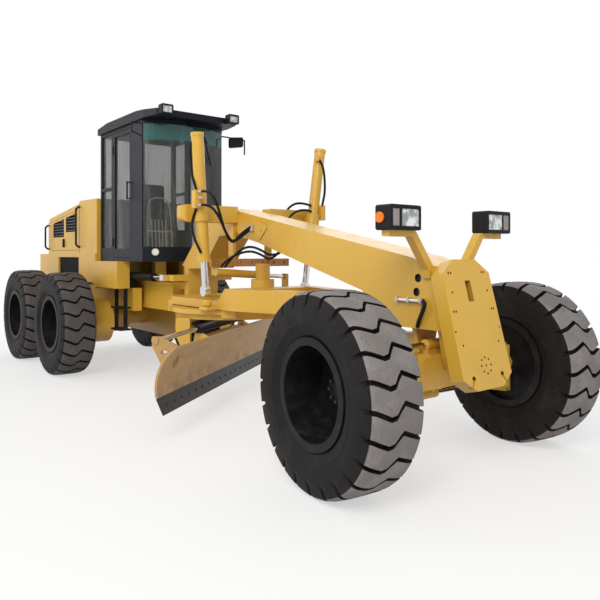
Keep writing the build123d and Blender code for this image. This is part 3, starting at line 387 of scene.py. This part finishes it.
MAT = {
    "yellow": paint("yellow_paint").material,
    "arms": arms_paint(),
    "frame": beam_paint(),
    "plate": plate_paint(),
    "vented": vent_paint(),
    "black": dark("black_paint").material,
    "cab_black": dark("cab_black", (0.009, 0.010, 0.015), 0.36, 0.10, 0.04).material,
    "rubber": dark("hose_rubber", (0.012, 0.012, 0.012), 0.55, 0.2).material,
    "tread_front": tread("tread_front", (0.190, 0.172, 0.166), (0.275, 0.252, 0.242)),
    "tread_rear": tread("tread_rear", (0.082, 0.074, 0.072), (0.125, 0.112, 0.106)),
    "sidewall": sidewall("sidewall"),
    "rim": dark("rim_black", (0.008, 0.008, 0.010), 0.42, 0.22, 0.03).material,
    "blade": blade_paint(),
    "edge": edge_steel(),
    "chrome": plain("chrome", (0.66, 0.66, 0.68), 0.16, 1.0),
    "zinc": plain("zinc", (0.56, 0.50, 0.44), 0.38, 0.8),
    "glass": glass_pane("glass"),
    "cast": dark("cast_iron", (0.03, 0.03, 0.03), 0.6, 0.4).material,
    "cloth": dark("seat_cloth", (0.035, 0.036, 0.040), 0.85, 0.1).material,
    "plastic": dark("moulded_plastic", (0.014, 0.014, 0.016), 0.5, 0.12).material,
    "mesh": dark("vent_mesh", (0.006, 0.006, 0.007), 0.7, 0.1).material,
    "nose_lamp": nose_lamps(),
    "roof_lamp": roof_lamp(),
    "clear": plain("clear_lens", (0.78, 0.78, 0.76), 0.2),
    "pale": plain("pale_grip", (0.66, 0.64, 0.58), 0.5),
    "bolt": dark("bolt_steel", (0.045, 0.040, 0.036), 0.5, 0.3).material,
}

FINISH = {
    "front_frame": "frame",
    "counterweight": "plate",
    "lift_arms": "arms",
    "steps_and_rails": "black",
    "headlamps": "nose_lamp",
    "roof_lamps": "roof_lamp",
    "mirrors": "plastic",
    "console": "plastic",
    "engine_block": "cast",
    "drawbar_ball": "cast",
    "seat": "cloth",
    "moldboard": "blade",
    "cutting_edge": "edge",
    "lean_bar": "chrome",
    "articulation_tubes": "black",
    "side_shift_tube": "black",
}


def finish_of(name):
    """The key in MAT of a node's material."""
    if name in FINISH:
        return FINISH[name]
    if name.endswith("_rim"):
        return "rim"
    if "glass" in name:
        return "glass"
    if name.startswith("hood_door"):
        return "vented"
    if name.startswith(("cab_frame", "cab_roof", "cab_door")):
        return "cab_black"
    if "_rod" in name:
        return "chrome"
    return "yellow"


def settle(name, mesh, body, smooth=False):
    """Puts a finished mesh in the scene and on its body."""
    if smooth:
        mesh.shade_smooth()
    obj = bpy.data.objects.new(name, mesh)
    bpy.context.scene.collection.objects.link(obj)
    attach(obj, body)
    return obj


def add_mesh(name, bm, body, materials):
    mesh = bpy.data.meshes.new(name)
    bm.to_mesh(mesh)
    bm.free()
    for material in materials:
        mesh.materials.append(MAT[material])
    return settle(name, mesh, body)


def hose_mesh(name, points, radius, material):
    """Tube along a smooth curve through a few chosen points."""
    curve = bpy.data.curves.new(name, "CURVE")
    curve.dimensions = "3D"
    spline = curve.splines.new("NURBS")
    spline.points.add(len(points) - 1)
    for point, place in zip(spline.points, points):
        point.co = (*at(*place), 1)
    spline.order_u = 3
    spline.use_endpoint_u = True
    curve.resolution_u = 8
    curve.bevel_depth = radius
    curve.bevel_resolution = 3
    curve.use_fill_caps = True
    draft = bpy.data.objects.new(name, curve)
    bpy.context.scene.collection.objects.link(draft)
    shown = draft.evaluated_get(bpy.context.evaluated_depsgraph_get())
    mesh = bpy.data.meshes.new_from_object(shown)
    bpy.data.objects.remove(draft)
    mesh.materials.clear()
    mesh.materials.append(MAT[material])
    return mesh


def hose(name, body, points, radius=0.013, material="rubber"):
    return settle(name, hose_mesh(name, points, radius, material), body, True)


def bridge_hose(name, points, radius=0.013):
    """Hose from one body to the next, baked where it lies and set on no body."""
    mesh = hose_mesh(name, points, radius, "rubber")
    mesh.shade_smooth()
    obj = bpy.data.objects.new(name, mesh)
    bpy.context.scene.collection.objects.link(obj)
    tuple(at(*points[0]))
    tuple(at(*points[-1]))
    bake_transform(obj)
    return obj


def bar(name, body, start, end, radius, material, sides=20):
    """Round bar between two places."""
    start, end = at(*start), at(*end)
    bm = bmesh.new()
    bmesh.ops.create_cone(bm, cap_ends=True, segments=sides, radius1=radius, radius2=radius,
                          depth=(end - start).length)
    turn = (end - start).to_track_quat("Z", "Y").to_matrix().to_4x4()
    bmesh.ops.transform(bm, matrix=Matrix.Translation((start + end) / 2) @ turn, verts=bm.verts)
    return add_mesh(name, bm, body, (material,))


def slab(name, body, low, high, material, round_edges=0.0):
    """Box between two corners."""
    low, high = at(*low), at(*high)
    bm = bmesh.new()
    bmesh.ops.create_cube(bm, size=1)
    size = high - low
    stretch = Matrix.Diagonal((abs(size.x), abs(size.y), abs(size.z), 1))
    place = Matrix.Translation((low + high) / 2) @ stretch
    bmesh.ops.transform(bm, matrix=place, verts=bm.verts)
    if round_edges:
        bmesh.ops.bevel(bm, geom=bm.edges[:], offset=round_edges, segments=2, affect="EDGES", profile=0.5)
    bmesh.ops.recalc_face_normals(bm, faces=bm.faces)
    return add_mesh(name, bm, body, (material,))


def bolt_tree():
    """Hexagon heads on the points of a mesh, each turned to its point's own direction."""
    tree = bpy.data.node_groups.new("bolt_heads", "GeometryNodeTree")
    face = tree.interface
    face.new_socket("Points", in_out="INPUT", socket_type="NodeSocketGeometry")
    face.new_socket("Radius", in_out="INPUT", socket_type="NodeSocketFloat")
    face.new_socket("Height", in_out="INPUT", socket_type="NodeSocketFloat")
    face.new_socket("Finish", in_out="INPUT", socket_type="NodeSocketMaterial")
    face.new_socket("Bolts", in_out="OUTPUT", socket_type="NodeSocketGeometry")
    given = tree.nodes.new("NodeGroupInput")
    head = tree.nodes.new("GeometryNodeMeshCylinder")
    head.inputs["Vertices"].default_value = 6
    way = tree.nodes.new("GeometryNodeInputNamedAttribute")
    way.data_type = "FLOAT_VECTOR"
    way.inputs["Name"].default_value = "way"
    turn = tree.nodes.new("FunctionNodeAlignRotationToVector")
    turn.axis = "Z"
    place = tree.nodes.new("GeometryNodeInstanceOnPoints")
    real = tree.nodes.new("GeometryNodeRealizeInstances")
    finish = tree.nodes.new("GeometryNodeSetMaterial")
    out = tree.nodes.new("NodeGroupOutput")
    for source, target in (
            (given.outputs["Points"], place.inputs["Points"]),
            (given.outputs["Radius"], head.inputs["Radius"]),
            (given.outputs["Height"], head.inputs["Depth"]),
            (head.outputs["Mesh"], place.inputs["Instance"]),
            (way.outputs["Attribute"], turn.inputs["Vector"]),
            (turn.outputs["Rotation"], place.inputs["Rotation"]),
            (place.outputs["Instances"], real.inputs["Geometry"]),
            (real.outputs["Geometry"], finish.inputs["Geometry"]),
            (given.outputs["Finish"], finish.inputs["Material"]),
            (finish.outputs["Geometry"], out.inputs["Bolts"])):
        tree.links.new(source, target)
    return tree


def bolts(name, body, places, radius, height, material="bolt"):
    """Bolt heads; places is a list of (point, direction) in the row frame."""
    seed = bpy.data.meshes.new(name + "_points")
    seed.from_pydata([tuple(point) for point, way in places], [], [])
    ways = seed.attributes.new("way", "FLOAT_VECTOR", "POINT")
    for item, (point, way) in zip(ways.data, places):
        item.vector = way
    draft = bpy.data.objects.new(name, seed)
    bpy.context.scene.collection.objects.link(draft)
    heads = draft.modifiers.new("bolt_heads", "NODES")
    heads.node_group = BOLTS
    values = {"Radius": radius, "Height": height, "Finish": MAT[material]}
    for item in BOLTS.interface.items_tree:
        if item.name in values:
            heads[item.identifier] = values[item.name]
    mesh = bpy.data.meshes.new_from_object(draft.evaluated_get(bpy.context.evaluated_depsgraph_get()))
    bpy.data.objects.remove(draft)
    return settle(name, mesh, body)


LUGS = 24
LUG_DEPTH = 0.034
TREAD_HALF = 0.2         # half the width over which a groove runs
CROWN_RADIUS = 0.63      # crests further out than this show the dusty tread
WHEEL_BOLTS = (          # radius of the circle, count, distance out from the wheel's middle
    (0.155, 12, -0.116),
    (0.075, 8, -0.018),
)


def lug_path(y):
    """Where the groove runs across the tread, in lug pitches, for y from -1 to 1."""
    points = ((-1.0, 0.0), (-0.82, 0.02), (-0.12, 0.34), (0.22, -0.22), (0.9, 0.12), (1.0, 0.14))
    for (y0, a0), (y1, a1) in zip(points, points[1:]):
        if y <= y1:
            return a0 + (a1 - a0) * (y - y0) / (y1 - y0)
    return points[-1][1]


def tyre_section():
    """(y, radius, groove depth share) from the inner bead round the tread to the outer bead."""
    half = [
        (0.0, 0.675, 1.0), (0.03, 0.675, 1.0), (0.07, 0.6745, 1.0), (0.11, 0.673, 1.0),
        (0.15, 0.670, 1.0), (0.18, 0.662, 1.0), (0.198, 0.647, 1.0), (0.206, 0.62, 0.9),
        (0.212, 0.59, 0.55), (0.216, 0.565, 0.0), (0.220, 0.53, 0.0), (0.220, 0.49, 0.0),
        (0.216, 0.462, 0.0), (0.2185, 0.456, 0.0), (0.213, 0.448, 0.0), (0.198, 0.41, 0.0),
        (0.186, 0.385, 0.0), (0.181, 0.374, 0.0), (0.170, 0.368, 0.0), (0.150, 0.350, 0.0),
    ]
    return [(-y, r, d) for y, r, d in reversed(half[1:])] + half


def tyre_mesh(side):
    """Tyre about the Y axis at the origin, with full-width stepped grooves between its lugs.

    Each line across the tread has its share of the lug's pitch and whether it lies in the groove.
    """
    section = tyre_section()
    lines = ((0.0, 1.0), (0.035, 0.0), (0.34, 0.0), (0.66, 0.0), (0.85, 0.0), (0.885, 1.0))
    bm = bmesh.new()
    rings = []
    for lug in range(LUGS):
        for share, cut in lines:
            ring = []
            for y, radius, depth in section:
                across = max(-1, min(1, y / TREAD_HALF))
                angle = 2 * pi * (lug + share + lug_path(across * side)) / LUGS
                low = LUG_DEPTH * cut * depth
                r = radius - low * (1 if abs(y) < TREAD_HALF else 0.25)
                inward = low * 0.55 if abs(y) > 0.19 else 0
                y_in = y - (inward if y > 0 else -inward)
                ring.append(bm.verts.new((r * cos(angle), y_in, r * sin(angle))))
            rings.append(ring)
    for index, here in enumerate(rings):
        after = rings[(index + 1) % len(rings)]
        crest = 1 <= index % len(lines) <= 3
        for step in range(len(section) - 1):
            face = bm.faces.new((here[step], here[step + 1], after[step + 1], after[step]))
            crown = min(section[step][1], section[step + 1][1]) > CROWN_RADIUS
            face.material_index = 0 if crown and crest else 1
            face.smooth = section[step][2] == 0
    bmesh.ops.recalc_face_normals(bm, faces=bm.faces)
    return bm


def wheels():
    """Lugged tyres in place of the plain ones, and the bolts on each wheel's disc."""
    for side_name, side in SIDES.items():
        for which, x in (("front", 0), ("mid", MID_AXLE), ("rear", REAR_AXLE)):
            body = f"{which}_wheel_{side_name}"
            turn = TOE if which == "front" else 0
            pivot = KING_PIN if which == "front" else 0
            place = Matrix.Translation(at(x, side * pivot, 0))
            place = place @ Matrix.Rotation(turn, 4, "Z")
            place = place @ Matrix.Translation((0, side * (TRACK - pivot), TYRE_RADIUS))
            bm = tyre_mesh(side)
            bmesh.ops.transform(bm, matrix=place, verts=bm.verts)
            top = "tread_front" if which == "front" else "tread_rear"
            tyre = add_mesh(f"{body}_lugged_tyre", bm, body, (top, "sidewall"))
            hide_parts(f"{body}_tyre")
            spots = []
            for ring, count, depth in WHEEL_BOLTS:
                for step in range(count):
                    angle = 2 * pi * step / count
                    point = place @ Vector((ring * cos(angle), side * depth, ring * sin(angle)))
                    spots.append((point, place.to_3x3() @ Vector((0, side, 0))))
            bolts(f"{body}_bolts", body, spots, 0.012, 0.014)


EDGE_BOLTS = 24
EDGE_START = -1.725      # first bolt, along the blade from its middle
EDGE_PITCH = 0.15
EDGE_X = 0.0445          # the edge's face, forward of the blade's turning centre
EDGE_Z = 0.3265
EDGE_WAY = (0.901, 0, 0.434)


def blade_trim():
    """Bolt heads along the cutting edge."""
    yaw = asin(BLADE_SHIFT * sin(BLADE_TURN) / CIRCLE_REACH)
    middle = at(BALL_X - CIRCLE_REACH * cos(yaw), -CIRCLE_REACH * sin(yaw), 0)
    turn = Matrix.Rotation(BLADE_TURN, 3, "Z")
    spots = []
    for step in range(EDGE_BOLTS):
        along = EDGE_START + step * EDGE_PITCH
        spots.append((middle + turn @ Vector((EDGE_X, along, EDGE_Z)), turn @ Vector(EDGE_WAY)))
    bolts("edge_bolts", BODY["cutting_edge"], spots, 0.014, 0.008, "edge")


SIDE_PLATE_FACE = 0.213
SIDE_PLATE_BOLTS = ((-2.72, 1.99), (-2.06, 1.83), (-2.10, 1.77), (-2.52, 1.86), (-2.74, 1.87))
NOSE_BOLTS = 8           # in a ring round a ninth
NOSE_RING = 0.055
NOSE_RING_Z = 0.797


def beam_trim():
    """Bolts on the frame's side plates and the nose plate's small ring of bolts."""
    spots = []
    for side in SIDES.values():
        for x, z in SIDE_PLATE_BOLTS:
            spots.append((at(x, side * SIDE_PLATE_FACE, z), Vector((0, side, 0))))
    bolts("side_plate_bolts", BODY["front_frame"], spots, 0.013, 0.012, "yellow")
    spots = []
    for step in range(NOSE_BOLTS + 1):
        ring = NOSE_RING if step else 0
        y = ring * sin(2 * pi * step / NOSE_BOLTS)
        z = NOSE_RING_Z + ring * cos(2 * pi * step / NOSE_BOLTS)
        x = NOSE_X + (NOSE_Z - z) * sin(NOSE_LEAN) / cos(NOSE_LEAN)
        spots.append((at(x, y, z), Vector((cos(NOSE_LEAN), 0, sin(NOSE_LEAN)))))
    bolts("plate_centre_bolts", BODY["counterweight"], spots, 0.007, 0.006)


def cylinder_hoses():
    """Hoses, ports and clamps on the two blade lift cylinders."""
    tube = BODY["lift_tube_right"]
    hose("lift_hose_right_upper", tube,
         [(-2.366, -0.797, 2.705), (-2.39, -0.822, 2.64), (-2.40, -0.800, 2.50),
          (-2.39, -0.800, 2.36), (-2.33, -0.800, 2.27), (-2.31, -0.790, 2.19)])
    hose("lift_hose_right_lower", tube,
         [(-2.31, -0.790, 2.05), (-2.35, -0.805, 1.96), (-2.40, -0.795, 1.86),
          (-2.37, -0.790, 1.76), (-2.32, -0.770, 1.66), (-2.31, -0.742, 1.60)])
    slab("lift_port_right_top", tube, (-2.375, -0.80, 2.685), (-2.325, -0.745, 2.735), "yellow", 0.006)
    slab("lift_valve_right", tube, (-2.335, -0.835, 2.03), (-2.265, -0.765, 2.21), "yellow", 0.008)
    for z in (2.06, 2.13, 2.19):
        start, end = (-2.27, -0.80, z), (-2.19, -0.80, z)
        bar(f"lift_fitting_right_{round(z * 100)}", tube, start, end, 0.014, "zinc", 12)
    bridge_hose("loop_hose_right_outer",
                [(-2.20, -0.80, 2.19), (-2.09, -0.79, 2.19), (-2.02, -0.76, 2.11), (-2.04, -0.70, 2.00),
                 (-2.12, -0.60, 1.84), (-2.28, -0.42, 1.70), (-2.33, -0.30, 1.74), (-2.22, -0.226, 1.84)])
    bridge_hose("loop_hose_right_inner",
                [(-2.20, -0.80, 2.06), (-2.08, -0.78, 2.06), (-2.04, -0.70, 1.95), (-2.16, -0.55, 1.79),
                 (-2.30, -0.38, 1.70), (-2.31, -0.28, 1.80), (-2.20, -0.226, 1.87)])
    slab("hose_block_right", BODY["front_frame"], (-2.25, -0.236, 1.82), (-2.17, -0.210, 1.89), "zinc", 0.005)
    tube = BODY["lift_tube_left"]
    hose("lift_hose_left_upper", tube,
         [(-2.29, 0.735, 2.66), (-2.25, 0.765, 2.60), (-2.23, 0.78, 2.45),
          (-2.23, 0.785, 2.28), (-2.27, 0.785, 2.16), (-2.29, 0.785, 2.10)])
    slab("lift_port_left_top", tube, (-2.325, 0.715, 2.63), (-2.27, 0.755, 2.69), "yellow", 0.006)
    slab("lift_valve_left", tube, (-2.33, 0.77, 1.97), (-2.27, 0.83, 2.14), "yellow", 0.008)
    bridge_hose("loop_hose_left_outer",
                [(-2.32, 0.66, 2.13), (-2.40, 0.58, 2.17), (-2.48, 0.50, 2.14), (-2.50, 0.42, 2.04),
                 (-2.46, 0.36, 1.94), (-2.38, 0.25, 1.88), (-2.34, 0.226, 1.86)])
    bridge_hose("loop_hose_left_inner",
                [(-2.32, 0.66, 2.07), (-2.36, 0.58, 2.09), (-2.42, 0.48, 2.05), (-2.42, 0.38, 1.94),
                 (-2.34, 0.26, 1.86), (-2.30, 0.226, 1.84)])
    slab("hose_block_left", BODY["front_frame"], (-2.37, 0.210, 1.81), (-2.27, 0.236, 1.88), "zinc", 0.005)


def frame_hoses():
    """Hoses that loop over the link bar, and the pipe and hose beside the nose."""
    for step, lift in enumerate((0.0, 0.045)):
        hose(f"link_hose_{step}", BODY["front_frame"],
             [(-2.49, -0.40 + lift, 1.46), (-2.40, -0.42 + lift, 1.51),
              (-2.22, -0.40 + lift, 1.585 + lift), (-2.02, -0.36, 1.625 + lift),
              (-1.90, -0.30, 1.58 + lift), (-1.86, -0.25, 1.53 + lift),
              (-1.84, -0.14 + lift, 1.60), (-1.84, -0.10, 1.68)], 0.012)
    bar("nose_pipe", BODY["front_frame"], (-0.215, -0.225, 1.242), (0.05, -0.225, 1.242),
        0.013, "chrome", 14)
    for x in (-0.205, -0.09, 0.03):
        slab(f"pipe_clamp_{round(abs(x) * 1000)}", BODY["front_frame"], (x - 0.012, -0.243, 1.222),
             (x + 0.012, -0.1985, 1.262), "zinc", 0.003)
    hose("nose_hose", BODY["front_frame"],
         [(0.045, -0.225, 1.242), (0.075, -0.23, 1.23), (0.05, -0.235, 1.16),
          (0.01, -0.230, 1.09), (-0.02, -0.21, 1.045)], 0.015)


def cab_trim():
    """Wiper, service light, control linkage behind the windscreen, a pale loop painted as the light outline
    of the steering wheel's black rim, and door handles.
    """
    root = BODY["cab_frame"]
    bar("wiper_arm", root, (-3.862, 0.02, 3.205), (-3.872, 0.235, 3.00), 0.009, "black", 10)
    bar("wiper_blade", root, (-3.878, 0.185, 3.10), (-3.902, 0.300, 2.72), 0.010, "black", 10)
    bar("wiper_motor", root, (-3.875, 0.01, 3.20), (-3.835, 0.01, 3.205), 0.030, "black", 16)
    bar("service_light", root, (-3.985, -0.425, 1.617), (-3.945, -0.440, 1.617), 0.036, "clear", 24)
    bar("service_light_rim", root, (-3.985, -0.423, 1.617), (-3.952, -0.436, 1.617), 0.044, "zinc", 24)
    for step in range(5):
        y = -0.400 + step * 0.047
        bar(f"control_rod_{step}", root, (-4.10, y, 1.60), (-4.11, y - 0.012, 2.02),
            0.008, "pale", 10)
    bar("control_rod_shaft", root, (-4.105, -0.47, 1.875), (-4.105, -0.14, 1.875), 0.010, "pale", 10)
    for step, y in enumerate((-0.47, -0.14)):
        bar(f"control_rod_post_{step}", root, (-4.105, y, 1.54), (-4.105, y, 1.89), 0.010, "pale", 10)
    # painted highlight: a pale loop where the black steering wheel's rim shows as a light outline
    hose("control_guard", root,
         [(-4.12, -0.47, 1.88), (-4.12, -0.47, 2.20), (-4.12, -0.40, 2.29),
          (-4.12, -0.22, 2.29), (-4.12, -0.15, 2.20), (-4.12, -0.14, 1.88)], 0.008, "pale")
    for side_name, side in SIDES.items():
        door = BODY[f"cab_door_{side_name}"]
        face = side * 0.561
        grip = side * 0.600
        bar(f"door_handle_{side_name}", door, (-4.41, grip, 2.28), (-4.41, grip, 2.50),
            0.010, "plastic", 12)
        for z in (2.29, 2.49):
            bar(f"door_handle_foot_{side_name}_{round(z * 100)}", door,
                (-4.41, face, z), (-4.41, side * 0.602, z), 0.008, "plastic", 10)


def hood_trim():
    """Dark mesh behind the vents, grille and side openings, and the hood doors' latches."""
    for side_name, side in SIDES.items():
        door = BODY[f"hood_door_{side_name}"]
        inner, outer = sorted((side * 0.573, side * 0.5795))
        for step, (rear, front) in enumerate(((-7.33, -6.77), (-6.73, -6.20))):
            slope = 0.14 / 1.23
            height = 2.055 + (rear + 7.4) * slope
            low, high = (rear, inner, 1.86), (front, outer, height)
            slab(f"vent_mesh_{side_name}_{step}", door, low, high, "mesh")
        inner, outer = sorted((side * 0.6005, side * 0.628))
        low, high = (-6.79, inner, 1.70), (-6.755, outer, 1.83)
        slab(f"door_latch_{side_name}", door, low, high, "plastic", 0.006)
        inner, outer = sorted((side * 0.565, side * 0.5895))
        low, high = (-7.0, inner, 1.28), (-6.07, outer, 1.56)
        slab(f"side_opening_{side_name}", BODY["rear_body"], low, high, "mesh")
    slab("grille_mesh", BODY["hood"], (-7.529, -0.50, 1.68), (-7.522, 0.50, 2.06), "mesh")


def mark_lines():
    """Fine seams where the tall block meets the sloping hood."""
    for side_name, side in SIDES.items():
        low, high = sorted((side * 0.6003, side * 0.6018))
        slab(f"hood_seam_{side_name}", BODY["hood"], (-6.113, low, 1.61), (-6.107, high, 2.33), "mesh")


def camera():
    """The photo's point of view."""
    data = bpy.data.cameras.new("camera")
    data.sensor_width = 36
    data.lens = LENS
    data.shift_y = LENS_SHIFT
    data.clip_end = 200
    obj = bpy.data.objects.new("camera", data)
    obj.location = at(*CAMERA_PLACE)
    obj.rotation_euler = (pi / 2, 0, HEADING - pi / 2)
    bpy.context.scene.collection.objects.link(obj)
    bpy.context.scene.camera = obj


def light(name, place, aim, size, power, color=(1, 1, 1)):
    """Square soft light."""
    data = bpy.data.lights.new(name, "AREA")
    data.size = size
    data.energy = power
    data.color = color
    obj = bpy.data.objects.new(name, data)
    obj.location = place
    obj.rotation_euler = (Vector(aim) - Vector(place)).to_track_quat("-Z", "Y").to_euler()
    bpy.context.scene.collection.objects.link(obj)


def shown_rays(tree):
    """1 for what the camera, mirrors and glass see, 0 for the light that falls on the machine."""
    path = tree.nodes.new("ShaderNodeLightPath")
    kinds = ("Is Camera Ray", "Is Glossy Ray", "Is Transmission Ray")
    rays = [Val(tree, path.outputs[kind]) for kind in kinds]
    seen = rays[0] + rays[1] + rays[2]
    return seen.run("MINIMUM", seen, 1.0)


def studio():
    """White surroundings, three soft lights and a floor that fades to white."""
    world = bpy.data.worlds.new("world")
    world.use_nodes = True
    back = world.node_tree.nodes["Background"]
    back.inputs["Color"].default_value = (1, 1, 1, 1)
    strength = shown_rays(world.node_tree) * 0.42 + 0.58
    world.node_tree.links.new(strength.socket, back.inputs["Strength"])
    scene = bpy.context.scene
    scene.world = world
    scene.view_settings.view_transform = "Standard"
    light("key", place=(9, -9, 9), aim=(0, 0, 1), size=6, power=980, color=(1, 0.98, 0.95))
    light("fill", place=(-8, -10, 6), aim=(-1, 0, 1), size=8, power=300)
    light("back", place=(-6, 9, 8), aim=(0, 0, 1), size=8, power=260)
    bm = bmesh.new()
    bmesh.ops.create_grid(bm, x_segments=1, y_segments=1, size=60)
    mesh = bpy.data.meshes.new("floor")
    bm.to_mesh(mesh)
    bm.free()
    surface = Surface("floor", (0.93, 0.93, 0.92), 0.8)
    tree = surface.tree
    glow = tree.nodes.new("ShaderNodeEmission")
    mix = tree.nodes.new("ShaderNodeMixShader")
    out = next(node for node in tree.nodes if node.type == "OUTPUT_MATERIAL")
    reach = surface.x * surface.x + surface.y * surface.y
    far = (reach.run("SQRT", reach).ramp(4.5, 9.0) * 0.45 + 0.55) * shown_rays(tree)
    tree.links.new(far.socket, mix.inputs[0])
    tree.links.new(surface.bsdf.outputs[0], mix.inputs[1])
    tree.links.new(glow.outputs[0], mix.inputs[2])
    tree.links.new(mix.outputs[0], out.inputs["Surface"])
    mesh.materials.append(surface.material)
    floor = bpy.data.objects.new("floor", mesh)
    scene.collection.objects.link(floor)


BODY = {}
for body, members in frame["record"]["behaviour"]["bodies"].items():
    for name in members:
        BODY[name] = body
BOLTS = bolt_tree()
for name, obj in nodes.items():
    obj.data.materials.clear()
    obj.data.materials.append(MAT[finish_of(name)])
camera()
studio()
wheels()
blade_trim()
beam_trim()
cylinder_hoses()
frame_hoses()
cab_trim()
hood_trim()
mark_lines()
